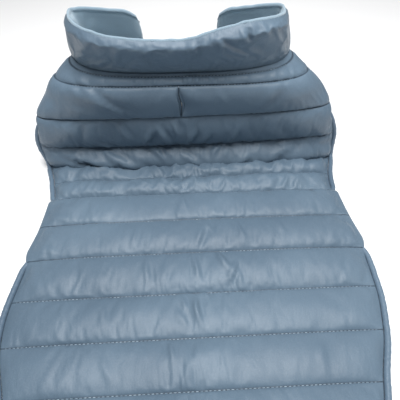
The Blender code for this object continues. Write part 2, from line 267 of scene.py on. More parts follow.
@dataclass(frozen=True)
class CoatForm:
    """The cloth's surface in the frame, before it is puffed, stitched and creased."""

    channel: float = 40.0
    band: float = 3.6               # flat strip under the collar seam, to its topstitching
    first_strip: float = 14.0
    crease: float = 134.0
    last_line: float = 494.0
    back_length: float = 512.0
    seam_height: float = 118.0
    seam_gap: float = 0.3
    far_drop_height: float = 10.0
    throat_angle: float = 155.0
    throat_closes: float = 11.0
    shoulder_angle: float = 105.0
    shoulder_gap: float = 0.1
    leg_back: float = 84.0
    leg_front: float = 121.0
    leg_top: float = 54.0
    leg_arch: float = 30.0
    power: float = 1.5              # 1 is an ellipse, more is flatter in front and behind
    hem_power: float = 6.0          # how late the flat part falls to its sewn edge
    tail_round: float = 182.0
    tail_start: float = 334.0
    tail_power: float = 2.3
    collar_height: float = 38.0
    collar_rise: float = 6.0
    line_wall: float = 3.6
    hem_wall: float = 4.5

    def section(self, angle: Array) -> tuple[Array, Array]:
        """Returns the depth of a ring at an angle, as near and far shares."""
        cosine = np.cos(np.radians(angle))
        near = np.where(cosine >= 0, np.abs(1 - cosine) ** self.power, 1.0)
        far = np.where(cosine >= 0, 0.0, 1 - np.clip(1 + cosine, 0, 1) ** self.power)
        return near, far

    def ring(self, rings: tuple[Ring, ...], level: Array, angle: Array, height: Array) -> Array:
        """Returns the points of a ring table at a level, raised to a height."""
        def read(column: str) -> Array:
            """Reads one column at the level."""
            return read_table(rings, "height", column, level)

        near, far = self.section(angle)
        x = read("shift") + read("half_width") * np.sin(np.radians(angle))
        y = read("near_y") + read("near_depth") * near + read("far_depth") * far
        return stack(x, y, height)

    def far_drop(self, angle: Array) -> Array:
        """Returns how much lower the seam and the collar lie towards the throat."""
        return self.far_drop_height * np.clip(-np.cos(np.radians(angle)), 0, 1) ** 2

    def standing(self, angle: Array, down: Array) -> Array:
        """Returns points of the standing ring."""
        droop = read_table(STANDING_LINES, "down", "droop", down)
        level = read_table(STANDING_LINES, "down", "height", down)
        level = level - droop * (1 - np.cos(np.radians(angle)))
        level = level + read_table(STANDING_LINES, "down", "lean", down) * np.sin(np.radians(angle))
        drop = ease(level / self.seam_height) * self.far_drop(angle)
        return self.ring(RINGS, level, angle, level - drop)

    def leg_opening(self, down: Array) -> Array:
        """Returns the share of its full width that a leg opening has, rounded at the top."""
        below = np.clip((down - self.leg_top) / self.leg_arch, 0, 1)
        return np.sqrt(1 - (1 - below) ** 2)

    def back_spread(self, down: Array) -> Array:
        """Returns the angle from the middle to the back panel's edge."""
        sewn = self.shoulder_angle - self.shoulder_gap
        arch = sewn + (self.leg_back - sewn) * self.leg_opening(down)
        below = read_table(BACK_SPREAD, "down", "angle", down)
        return np.where(down < self.leg_top + self.leg_arch, arch, below)

    def tail_share(self, down: Array) -> Array:
        """Returns the share of its width that the flat part keeps in the rounded tail."""
        into = np.clip((down - self.tail_start) / self.tail_round, 0, 1)
        return (1 - into ** self.tail_power) ** (1 / self.tail_power)

    def lying(self, angle: Array, down: Array, spread: Array) -> Array:
        """Returns points of the flat part's upper face."""
        def read(column: str) -> Array:
            """Reads one column at these rows."""
            return read_table(LYING_LINES, "down", column, down)

        reach = np.sin(np.radians(angle)) / np.sin(np.radians(spread))
        side = np.abs(reach) ** self.hem_power
        x = read("shift") + read("half_width") * reach * self.tail_share(down)
        y = read("bow") * self.section(angle)[0] - read("run")
        return stack(x, y, read("height") * (1 - side) + self.hem_wall * side)

    def back(self, share: Array, down: Array) -> Array:
        """Returns points of the back; share runs from -1 at its left edge to 1 at its right."""
        spread = self.back_spread(down)
        angle = share * spread
        held = np.minimum(down, self.crease)
        up = self.standing(angle, held)
        middle = self.standing(np.zeros_like(angle), held)
        widen = 1 / np.sin(np.radians(np.minimum(spread, 90.0)))
        up[..., 0] = middle[..., 0] + (up[..., 0] - middle[..., 0]) * widen
        flat = self.lying(angle, np.maximum(down, self.crease), spread)
        return np.where((down > self.crease)[..., None], flat, up)

    def front(self, share: Array, down: Array, side: Side) -> Array:
        """Returns points of a front; share is 0 at its shoulder or leg edge, 1 at the throat."""
        start = self.shoulder_angle + self.shoulder_gap
        start = start + (self.leg_front - start) * self.leg_opening(down)
        end = self.throat_angle + self.throat_closes * down / self.crease
        return self.standing(side.value * (start + (end - start) * share), down)

    def collar_top(self, angle: Array) -> Array:
        """Returns the height of the collar round the neck."""
        turn = np.sin(np.radians(np.minimum(np.abs(angle), 90.0))) ** 2
        return self.collar_height + self.collar_rise * turn

    def collar(self, angle: Array, level: Array) -> Array:
        """Returns points of the collar; level is 0 at the seam and 1 at the top."""
        height = self.seam_height + self.seam_gap - self.far_drop(angle)
        return self.ring(COLLAR_RINGS, 100 * level, angle, height + level * self.collar_top(angle))

    def channel_share(self, down: Array) -> Array:
        """Returns 0 at a quilting line and 1 at the next one down."""
        share = ((down - self.first_strip) / self.channel) % 1.0
        strip = (down - self.band) / (self.first_strip - self.band)
        hem = (down - self.last_line) / (self.back_length - self.last_line)
        share = np.where(down < self.first_strip, np.clip(strip, 0, 1), share)
        return np.where(down > self.last_line, np.clip(hem, 0, 1), share)

    def line_distance(self, down: Array) -> Array:
        """Returns the distance to the nearest quilting line, or to the collar's topstitching."""
        into = (down - self.first_strip) % self.channel
        nearest = np.minimum(into, self.channel - into)
        above = np.minimum(np.abs(down - self.band), np.abs(self.first_strip - down))
        nearest = np.where(down < self.first_strip, above, nearest)
        return np.where(down > self.last_line, down - self.last_line, nearest)

    def line_side(self, down: Array) -> Array:
        """Returns a different whole number for each side of each quilting line."""
        line = np.floor((down - self.first_strip + self.channel / 2) / self.channel) * 2
        return line + ((down - self.first_strip) % self.channel < self.channel / 2)

    def quilting_lines(self) -> list[float]:
        """Returns how far down each quilting line of the back is."""
        count = int((self.last_line - self.first_strip) / self.channel) + 1
        return [self.first_strip + self.channel * index for index in range(count)]

    def grid_rows(self, count: int, first: tuple[float, ...], extra: list[float]) -> Array:
        """Returns the rows of a quilted panel's grid, closer together at the stitching.

        Args:
            count: How many channels to fill.
            first: Rows above the first quilting line.
            extra: Any more rows.

        Returns:
            How far down each row is.
        """
        half = np.array([0.0, 0.7, 1.7, 3.2, 5.4, 8.4, 12.0, 16.0])
        rows = list(first) + list(extra)
        for line in self.quilting_lines()[:count]:
            rows += list(line + half) + [line + 20.0] + list(line + 40.0 - half[:0:-1])
        return np.unique(np.array(rows))


class Placing:
    """Carries the coat's own millimetres to its place in the frame."""

    def __init__(self, form: CoatForm) -> None:
        """Works the shift out from the box of the back panel's node."""
        lowest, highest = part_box("back_panel")
        downs = np.linspace(form.leg_top + form.leg_arch, form.back_length, 900)
        left = form.back(-np.ones_like(downs), downs)
        right = form.back(np.ones_like(downs), downs)
        middle = (left[:, 0].min() + right[:, 0].max()) / 2
        x = (lowest.x + highest.x) / 2 / MM - middle
        y = lowest.y / MM - left[:, 1].min()
        self.shift = np.array([x, y, 0.0])

    def metres(self, points: Array) -> Array:
        """Returns the points in the frame's metres."""
        return (points + self.shift) * MM


# ------------------------------------------------------------------ meshes
def deselect() -> None:
    """Leaves nothing selected."""
    if bpy.context.object and bpy.context.object.mode != "OBJECT":
        bpy.ops.object.mode_set(mode="OBJECT")
    bpy.ops.object.select_all(action="DESELECT")


def new_mesh(name: str, points: Array, faces: Array, uv: Array | None = None,
             seam: Array | None = None) -> bpy.types.Object:
    """Makes a smooth-shaded object from points in metres.

    Args:
        name: Name of the piece.
        points: One point a row.
        faces: One quad a row, as numbers of points.
        uv: Place on the cut panel for each point, in centimetres.
        seam: How near each point is to stitching, from 0 to 1; the materials darken with painted
            shade where it is high, and some pieces raise it at folds and gaps.

    Returns:
        The new object.
    """
    mesh = bpy.data.meshes.new(name)
    mesh.vertices.add(len(points))
    mesh.vertices.foreach_set("co", np.ascontiguousarray(points, np.float32).ravel())
    mesh.loops.add(faces.size)
    mesh.loops.foreach_set("vertex_index", faces.ravel().astype(np.int32))
    mesh.polygons.add(len(faces))
    starts = np.arange(0, faces.size, faces.shape[1], dtype=np.int32)
    mesh.polygons.foreach_set("loop_start", starts)
    mesh.update(calc_edges=True)
    if uv is not None:
        layer = mesh.uv_layers.new(name="cut")
        layer.data.foreach_set("uv", uv[faces.ravel()].astype(np.float32).ravel())
    if seam is not None:
        mesh.attributes.new("seam", "FLOAT", "POINT").data.foreach_set("value", seam)
    mesh.validate()
    mesh.shade_smooth()
    made = bpy.data.objects.new(name, mesh)
    bpy.context.scene.collection.objects.link(made)
    return made


def wall_faces(cells: Array, turned: bool = False) -> tuple[Array, int]:
    """Faces of a closed wall between two equal grids, the outer grid's points first.

    Args:
        cells: True for each cell of the grid that is there.
        turned: True where rows down and columns across look inwards.

    Returns:
        The quads, and how many of them are on the outer side.
    """
    rows, columns = cells.shape[0] + 1, cells.shape[1] + 1
    index = np.arange(rows * columns).reshape(rows, columns)
    layer = rows * columns
    a, b, d, e = index[:-1, :-1], index[:-1, 1:], index[1:, :-1], index[1:, 1:]
    outer = np.stack([a, d, e, b], -1)[cells]
    inner = np.stack([a, b, e, d], -1)[cells] + layer
    ringed = np.pad(cells, 1)
    faces = [outer, inner]
    edges = ((0, -1, d, a), (1, 0, e, d), (0, 1, b, e), (-1, 0, a, b))
    for row, column, start, end in edges:
        beside = ringed[1 + row:rows + row, 1 + column:columns + column]
        lone = cells & ~beside
        s, t = start[lone], end[lone]
        faces.append(np.stack([s, t, t + layer, s + layer], -1))
    joined = np.concatenate(faces)
    return (joined[:, ::-1] if turned else joined), len(outer)


def smooth_steps(start: float, end: float, count: int, crowd: float = 0.0) -> Array:
    """Evenly spaced numbers with both ends, crowded towards both ends by the given share."""
    even = np.linspace(0, 1, count + 1)
    return start + (end - start) * (even * (1 - crowd) + ease(even) * crowd)


# ------------------------------------------------------------------ finishes
class NodeMaker:
    """Adds and links nodes in one tree."""

    def __init__(self, tree: bpy.types.NodeTree) -> None:
        """Keeps the tree."""
        self.tree = tree

    def add(self, kind: str, values: dict | None = None, **settings: object) -> bpy.types.Node:
        """Adds a node.

        Args:
            kind: Blender's name of the node type.
            values: Input values by socket name or number; a socket is linked instead.
            **settings: Properties of the node.

        Returns:
            The new node.
        """
        node = self.tree.nodes.new(kind)
        for name, value in settings.items():
            setattr(node, name, value)
        for name, value in (values or {}).items():
            if isinstance(value, bpy.types.NodeSocket):
                self.tree.links.new(value, node.inputs[name])
            else:
                node.inputs[name].default_value = value
        return node

    def sum(self, kind: str, first: object, second: object) -> bpy.types.NodeSocket:
        """Returns the output of a Math node."""
        return self.add("ShaderNodeMath", {0: first, 1: second}, operation=kind).outputs[0]

    def mix(self, share: object, first: object, second: object) -> bpy.types.NodeSocket:
        """Returns a mixed colour."""
        node = self.add("ShaderNodeMix", {0: share, 6: first, 7: second}, data_type="RGBA")
        return node.outputs[2]

    def spread(self, value: object, low: float, high: float, start: float = 0.0,
               end: float = 1.0) -> bpy.types.NodeSocket:
        """Returns a value carried smoothly from one range to another."""
        node = self.add("ShaderNodeMapRange", {0: value, 1: low, 2: high, 3: start, 4: end},
                        interpolation_type="SMOOTHSTEP")
        return node.outputs[0]


def new_group(name: str, inputs: dict[str, tuple[str, float]],
              outputs: dict[str, str]) -> tuple[bpy.types.NodeTree, NodeMaker, object, object]:
    """Starts a shader node group with named sockets.

    Args:
        name: Name of the group.
        inputs: Socket type and starting value of each input.
        outputs: Socket type of each output.

    Returns:
        The group, its node maker, and its input and output nodes.
    """
    group = bpy.data.node_groups.new(name, "ShaderNodeTree")
    for label, (kind, value) in inputs.items():
        socket = group.interface.new_socket(label, in_out="INPUT", socket_type=kind)
        if kind == "NodeSocketFloat":
            socket.default_value = value
    for label, kind in outputs.items():
        group.interface.new_socket(label, in_out="OUTPUT", socket_type=kind)
    maker = NodeMaker(group)
    return group, maker, maker.add("NodeGroupInput"), maker.add("NodeGroupOutput")


class CoatEffects:
    """Shader groups that more than one cloth of the coat uses."""

    def __init__(self) -> None:
        """Builds each group once."""
        self.weave = self.plain_weave()
        self.crinkle = self.fine_crinkle()
        self.tone = self.uneven_tone()

    def plain_weave(self) -> bpy.types.NodeTree:
        """Returns a plain weave: threads over and under each other, a little uneven."""
        group, make, into, out = new_group(
            "plain_weave",
            {"Place": ("NodeSocketVector", 0.0), "Threads": ("NodeSocketFloat", 24.0)},
            {"Height": "NodeSocketFloat", "Shade": "NodeSocketFloat"})
        wobble = make.add("ShaderNodeTexNoise", {"Vector": into.outputs["Place"], "Scale": 1.7,
                                                 "Detail": 2.0})
        shaken = make.add("ShaderNodeVectorMath", {0: wobble.outputs["Color"], "Scale": 0.04},
                          operation="SCALE")
        place = make.add("ShaderNodeVectorMath", {0: into.outputs["Place"],
                                                  1: shaken.outputs[0]})
        split = make.add("ShaderNodeSeparateXYZ", {0: place.outputs[0]})
        waves = []
        for axis in ("X", "Y"):
            turns = make.sum("MULTIPLY", split.outputs[axis], into.outputs["Threads"])
            waves.append(make.sum("SINE", make.sum("MULTIPLY", turns, math.tau / 2), 0.0))
        over = make.sum("MULTIPLY", waves[0], waves[1])
        height = make.sum("MULTIPLY_ADD", over, 0.5)
        height.node.inputs[2].default_value = 0.5
        make.tree.links.new(height, out.inputs["Height"])
        slub = make.add("ShaderNodeTexNoise", {"Vector": place.outputs[0], "Scale": 9.0,
                                               "Detail": 3.0, "Roughness": 0.7})
        shade = make.sum("MULTIPLY_ADD", height, 0.5)
        make.tree.links.new(slub.outputs["Fac"], shade.node.inputs[2])
        make.tree.links.new(shade, out.inputs["Shade"])
        return group

    def fine_crinkle(self) -> bpy.types.NodeTree:
        """Returns the small crinkles of a light coated cloth over its padding."""
        group, make, into, out = new_group(
            "fine_crinkle",
            {"Place": ("NodeSocketVector", 0.0), "Stretch": ("NodeSocketFloat", 0.5),
             "Seam": ("NodeSocketFloat", 0.0)},
            {"Height": "NodeSocketFloat"})
        split = make.add("ShaderNodeSeparateXYZ", {0: into.outputs["Place"]})
        down = make.sum("MULTIPLY", split.outputs["Y"], into.outputs["Stretch"])
        flat = make.add("ShaderNodeCombineXYZ", {0: split.outputs["X"], 1: down})
        soft = make.add("ShaderNodeTexNoise", {"Vector": flat.outputs[0], "Scale": 0.85,
                                               "Detail": 3.0, "Distortion": 0.5})
        fine = make.add("ShaderNodeTexNoise", {"Vector": flat.outputs[0], "Scale": 3.2,
                                               "Detail": 2.0, "Distortion": 0.3})
        near = make.spread(into.outputs["Seam"], 0.15, 0.9, 0.12, 1.0)
        small = make.sum("MULTIPLY", fine.outputs["Fac"], near)
        height = make.sum("ADD", soft.outputs["Fac"], make.sum("MULTIPLY", small, 0.55))
        make.tree.links.new(height, out.inputs["Height"])
        return group

    def uneven_tone(self) -> bpy.types.NodeTree:
        """Returns slow changes of tone over the whole cloth, with a little dust on top."""
        group, make, into, out = new_group(
            "uneven_tone",
            {"Place": ("NodeSocketVector", 0.0), "Size": ("NodeSocketFloat", 6.0)},
            {"Tone": "NodeSocketFloat", "Dust": "NodeSocketFloat"})
        slow = make.add("ShaderNodeTexNoise", {"Vector": into.outputs["Place"], "Detail": 3.0,
                                               "Scale": into.outputs["Size"]})
        grain = make.add("ShaderNodeTexNoise", {"Vector": into.outputs["Place"], "Scale": 900.0,
                                                "Detail": 1.0})
        tone = make.spread(slow.outputs["Fac"], 0.3, 0.7)
        dust = make.spread(grain.outputs["Fac"], 0.56, 0.74)
        make.tree.links.new(tone, out.inputs["Tone"])
        make.tree.links.new(dust, out.inputs["Dust"])
        return group


Colour = tuple[float, float, float, float]


@dataclass(frozen=True)
class ClothFinish:
    """A cloth with a weave, fine crinkles, uneven tone and painted shade in its grooves."""

    name: str
    light: Colour
    dark: Colour
    seam: Colour                    # painted shade: its colour deep in a stitched groove, at folds and at gaps
    slot: str
    roughness: float = 0.5
    threads: float = 26.0           # threads a centimetre
    weave_depth: float = 0.05       # millimetres
    crinkle_depth: float = 0.5      # millimetres
    stretch: float = 0.45
    sheen: float = 0.25
    sheen_roughness: float = 0.35
    specular: float = 0.4
    dust: float = 0.05
    pale: Colour = (0.8, 0.85, 0.9, 1.0)    # colour of dust and of the sheen

    def material(self, effects: CoatEffects) -> bpy.types.Material:
        """Builds the material.

        Args:
            effects: The coat's shader groups.

        Returns:
            A material that reads the piece's own "cut" map and "seam" attribute, and goes towards
            its seam colour as painted shade where the attribute is high.
        """
        made = bpy.data.materials.new(self.name)
        made.use_nodes = True
        make = NodeMaker(made.node_tree)
        shader = made.node_tree.nodes["Principled BSDF"]
        cut = make.add("ShaderNodeUVMap", uv_map="cut").outputs["UV"]
        body = make.add("ShaderNodeTexCoord").outputs["Object"]
        near = make.add("ShaderNodeAttribute", attribute_name="seam").outputs["Fac"]
        weave = make.add("ShaderNodeGroup", node_tree=effects.weave)
        crinkle = make.add("ShaderNodeGroup", node_tree=effects.crinkle)
        tone = make.add("ShaderNodeGroup", node_tree=effects.tone)
        for group, place in ((weave, cut), (crinkle, cut), (tone, body)):
            make.tree.links.new(place, group.inputs["Place"])
        weave.inputs["Threads"].default_value = self.threads
        crinkle.inputs["Stretch"].default_value = self.stretch
        make.tree.links.new(near, crinkle.inputs["Seam"])
        tone.inputs["Size"].default_value = 9.0
        cloth = make.mix(tone.outputs["Tone"], self.dark, self.light)
        threads = make.spread(weave.outputs["Shade"], 0.1, 1.1, 0.88, 1.08)
        lit = make.add("ShaderNodeMix", {0: 1.0, 6: cloth, 7: threads}, data_type="RGBA",
                       blend_type="MULTIPLY").outputs[2]
        # painted shade: near stitching, folds and gaps the colour goes towards the cloth's dark
        # seam colour
        shade_share = make.spread(near, 0.5, 0.95, 0.0, 0.9)
        shaded_colour = make.mix(shade_share, lit, self.seam)
        dusty = make.sum("MULTIPLY", tone.outputs["Dust"], self.dust)
        colour = make.mix(dusty, shaded_colour, self.pale)
        make.tree.links.new(colour, shader.inputs["Base Color"])
        gloss = make.spread(crinkle.outputs["Height"], 0.3, 1.1, self.roughness - 0.06,
                            self.roughness + 0.08)
        make.tree.links.new(gloss, shader.inputs["Roughness"])
        shader.inputs["Sheen Weight"].default_value = self.sheen
        shader.inputs["Sheen Roughness"].default_value = self.sheen_roughness
        shader.inputs["Sheen Tint"].default_value = self.pale
        shader.inputs["Specular IOR Level"].default_value = self.specular
        folds = make.add("ShaderNodeBump", {"Strength": 1.0, "Distance": self.crinkle_depth * MM,
                                            "Height": crinkle.outputs["Height"]})
        bump = make.add("ShaderNodeBump", {"Strength": 1.0, "Distance": self.weave_depth * MM,
                                           "Height": weave.outputs["Height"],
                                           "Normal": folds.outputs["Normal"]})
        make.tree.links.new(bump.outputs["Normal"], shader.inputs["Normal"])
        return made


# each cloth's seam colour is painted shade for its stitched grooves, folds and gaps
SHELL_CLOTH = ClothFinish(
    "slate_shell_cloth", light=(0.126, 0.183, 0.242, 1.0), dark=(0.098, 0.146, 0.198, 1.0),
    seam=(0.022, 0.038, 0.058, 1.0), slot="shell", roughness=0.44, crinkle_depth=0.8,
    sheen=0.06, specular=0.34, dust=0.02)
LINING_CLOTH = ClothFinish(
    "matte_lining_cloth", light=(0.34, 0.46, 0.54, 1.0), dark=(0.28, 0.39, 0.47, 1.0),
    seam=(0.20, 0.28, 0.35, 1.0), slot="lining", roughness=0.86, threads=14.0,
    weave_depth=0.12, crinkle_depth=0.35, sheen=0.5, sheen_roughness=0.6, specular=0.15,
    dust=0.10)
PIPING_CLOTH = ClothFinish(
    "piping_cloth", light=(0.125, 0.185, 0.25, 1.0), dark=(0.088, 0.135, 0.19, 1.0),
    seam=(0.045, 0.07, 0.1, 1.0), slot="piping", roughness=0.44, crinkle_depth=0.25)


@dataclass(frozen=True)
class ThreadFinish:
    """Twisted sewing thread."""

    name: str = "pale_thread"
    light: Colour = (0.40, 0.50, 0.58, 1.0)
    dark: Colour = (0.17, 0.24, 0.31, 1.0)
    twist: float = 2600.0           # turns a metre

    def material(self) -> bpy.types.Material:
        """Returns a material with the thread's twist and flecks over the whole piece."""
        made = bpy.data.materials.new(self.name)
        made.use_nodes = True
        make = NodeMaker(made.node_tree)
        shader = made.node_tree.nodes["Principled BSDF"]
        place = make.add("ShaderNodeTexCoord").outputs["Object"]
        wave = make.add("ShaderNodeTexWave", {"Vector": place, "Scale": self.twist / 6,
                                              "Distortion": 1.5}, bands_direction="DIAGONAL")
        speck = make.add("ShaderNodeTexNoise", {"Vector": place, "Scale": 420.0, "Detail": 1.0})
        tone = make.spread(speck.outputs["Fac"], 0.35, 0.65)
        fleck = make.sum("MULTIPLY_ADD", wave.outputs["Fac"], 0.35)
        make.tree.links.new(tone, fleck.node.inputs[2])
        share = make.spread(fleck, 0.0, 1.2)
        make.tree.links.new(make.mix(share, self.dark, self.light), shader.inputs["Base Color"])
        shader.inputs["Roughness"].default_value = 0.6
        bump = make.add("ShaderNodeBump", {"Strength": 0.6, "Distance": 0.08 * MM,
                                           "Height": wave.outputs["Fac"]})
        make.tree.links.new(bump.outputs["Normal"], shader.inputs["Normal"])
        return made


# ------------------------------------------------------------------ quilted panels
@dataclass(frozen=True)
class Padding:
    """How a quilted cloth puffs and puckers between its stitched lines."""

    crown: float = 5.2              # height of a channel over its stitching
    fullness: float = 0.62          # 1 is a plain arch, less is squarer
    groove: float = 0.7             # how deep the thread pulls the cloth in
    groove_width: float = 0.9
    pucker: float = 1.0             # height of the puckers beside a line
    pucker_cell: float = 4.2        # their spacing along the line
    pucker_reach: float = 5.5       # how far they run from the line
    slack: float = 0.9              # height of the loose, soft wrinkles
    seed: int = 3

    def pillow(self, share: Array) -> Array:
        """Returns the height of a channel, from 0 at its lines to 1."""
        return np.sin(math.pi * np.clip(share, 0, 1)) ** self.fullness

    def groove_depth(self, distance: Array) -> Array:
        """Returns how far the thread pulls the cloth in at a distance from it."""
        return self.groove * np.exp(-(distance / self.groove_width) ** 2)

    def puckers(self, across: Array, distance: Array, line: Array) -> Array:
        """Works out the small folds that run from the stitched lines.

        Args:
            across: Distance of each place from the middle line.
            distance: Distance to the nearest stitched line.
            line: A different number for each side of each line.

        Returns:
            How far each place stands out, in millimetres.
        """
        small = SoftNoise(self.seed, self.pucker_cell, 1.0)
        strength = SoftNoise(self.seed + 1, 34.0, 1.0)
        lean = SoftNoise(self.seed + 2, 60.0, 1.0)(across, 3.7 * line) - 0.5
        shifted = across + 1.6 * lean * distance
        fold = 1 - np.abs(2 * small(shifted, 1.37 * line) - 1) * 1.6
        amount = 0.25 + 1.5 * strength(across, 2.3 * line) ** 3
        rise = np.clip(distance / 1.2, 0, 1)
        reach = np.exp(-distance / (self.pucker_reach * (0.5 + amount)))
        return self.pucker * amount * fold * rise * reach

    def soft_folds(self, across: Array, down: Array) -> Array:
        """Returns the loose wrinkles of the cloth over its padding."""
        long = SoftNoise(self.seed + 5, 11.0, 34.0)(across + 0.35 * down, down)
        wide = SoftNoise(self.seed + 6, 30.0, 23.0)(across - 0.2 * down, down)
        mask = SoftNoise(self.seed + 7, 55.0, 48.0)(across, down)
        ridge = 1 - np.abs(2 * long - 1) * 1.7
        return self.slack * (ridge * np.clip(1.8 * mask - 0.5, 0, 1) + 1.2 * (wide - 0.5))


@dataclass
class PanelGrid:
    """A panel's base surface on a grid, with its cut-panel coordinates."""

    base: Array
    normals: Array
    across: Array
    down: Array

    @classmethod
    def measure(cls, base: Array, down: Array, start: float, turned: bool = False) -> PanelGrid:
        """Measures the cut panel along the rows of a base surface.

        Args:
            base: Points of the surface, rows down and columns across.
            down: Distance of each point down the panel.
            start: Column that counts as the middle line.
            turned: True where the grid looks inwards.

        Returns:
            The panel's grid.
        """
        steps = np.linalg.norm(np.diff(base, axis=1), axis=-1)
        across = np.concatenate([np.zeros((len(base), 1)), np.cumsum(steps, axis=1)], axis=1)
        low = int(start)
        middle = across[:, low] + (start - low) * (across[:, min(low + 1, across.shape[1] - 1)]
                                                   - across[:, low])
        return cls(base, grid_normals(base, turned), across - middle[:, None], down)


@dataclass(frozen=True)
class ClothRun:
    """A cloth simulation that lets a quilted face billow and wrinkle between its stitching."""

    frames: int = 18
    pressure: float = 3.0           # pushes the face out from the padding
    slack: float = 0.07             # how much more cloth there is than the face it covers
    bending: float = 0.05
    tension: float = 12.0
    mass: float = 0.001             # of one point of the mesh
    damping: float = 2.0
    steps: int = 6                  # solver steps a frame
    most_out: float = 2.6           # how far a point may end up off its place
    most_in: float = 1.6
    most_slide: float = 1.0

    def settle(self, points: Array, free: Array, loose: Array, cells: Array) -> Array:
        """Runs the cloth over a grid of points and applies where it ends.

        Args:
            points: The face's points in millimetres, rows down and columns across.
            free: 0 where a point is held by stitching, up to 1 where it moves freely.
            loose: Share of the slack that the cloth has at each point.
            cells: Which cells of the grid are cloth.
        """
        faces = wall_faces(cells)[0][:int(cells.sum())]
        made = new_mesh("cloth_run", points.reshape(-1, 3) * MM, faces)
        held = made.vertex_groups.new(name="held")
        weights = 1 - np.clip(free, 0, 1).ravel()
        for index in np.flatnonzero(weights > 0.02):
            held.add([int(index)], float(weights[index]), "REPLACE")
        tight = made.vertex_groups.new(name="tight")
        for index, share in enumerate((1 - loose).ravel()):
            tight.add([index], float(share), "REPLACE")
        cloth = made.modifiers.new("cloth", "CLOTH")
        cloth.point_cache.frame_start = 1
        cloth.point_cache.frame_end = self.frames
        settings = cloth.settings
        settings.quality = self.steps
        settings.mass = self.mass
        settings.air_damping = self.damping
        settings.tension_stiffness = self.tension
        settings.compression_stiffness = self.tension
        settings.shear_stiffness = self.tension / 3
        settings.bending_stiffness = self.bending
        settings.vertex_group_mass = held.name
        settings.pin_stiffness = 1.0
        settings.shrink_min = -self.slack
        settings.shrink_max = 0.0
        settings.vertex_group_shrink = tight.name
        settings.use_pressure = True
        settings.uniform_pressure_force = self.pressure
        settings.effector_weights.gravity = 0.0
        cloth.collision_settings.use_collision = False
        scene = bpy.context.scene
        scene.frame_start, scene.frame_end = 1, self.frames
        for frame in range(1, self.frames + 1):
            scene.frame_set(frame)
        deselect()
        made.select_set(True)
        bpy.context.view_layer.objects.active = made
        bpy.ops.object.modifier_apply(modifier=cloth.name)
        ended = np.empty(len(made.data.vertices) * 3)
        made.data.vertices.foreach_get("co", ended)
        scene.frame_set(1)
        bpy.data.objects.remove(made)
        moved = ended.reshape(points.shape) / MM - points
        normals = grid_normals(points)
        out = np.sum(moved * normals, axis=-1)
        kept = np.where(out > 0, self.most_out * np.tanh(out / self.most_out),
                        self.most_in * np.tanh(out / self.most_in))
        slide = moved - normals * out[..., None]
        reach = np.maximum(np.linalg.norm(slide, axis=-1, keepdims=True), 1e-6)
        slide = slide * np.clip(self.most_slide / reach, 0, 1)
        LOG.info("cloth run: %.2f mm out at most, %.2f mm in", out.max(), -out.min())
        return points + normals * kept[..., None] + slide


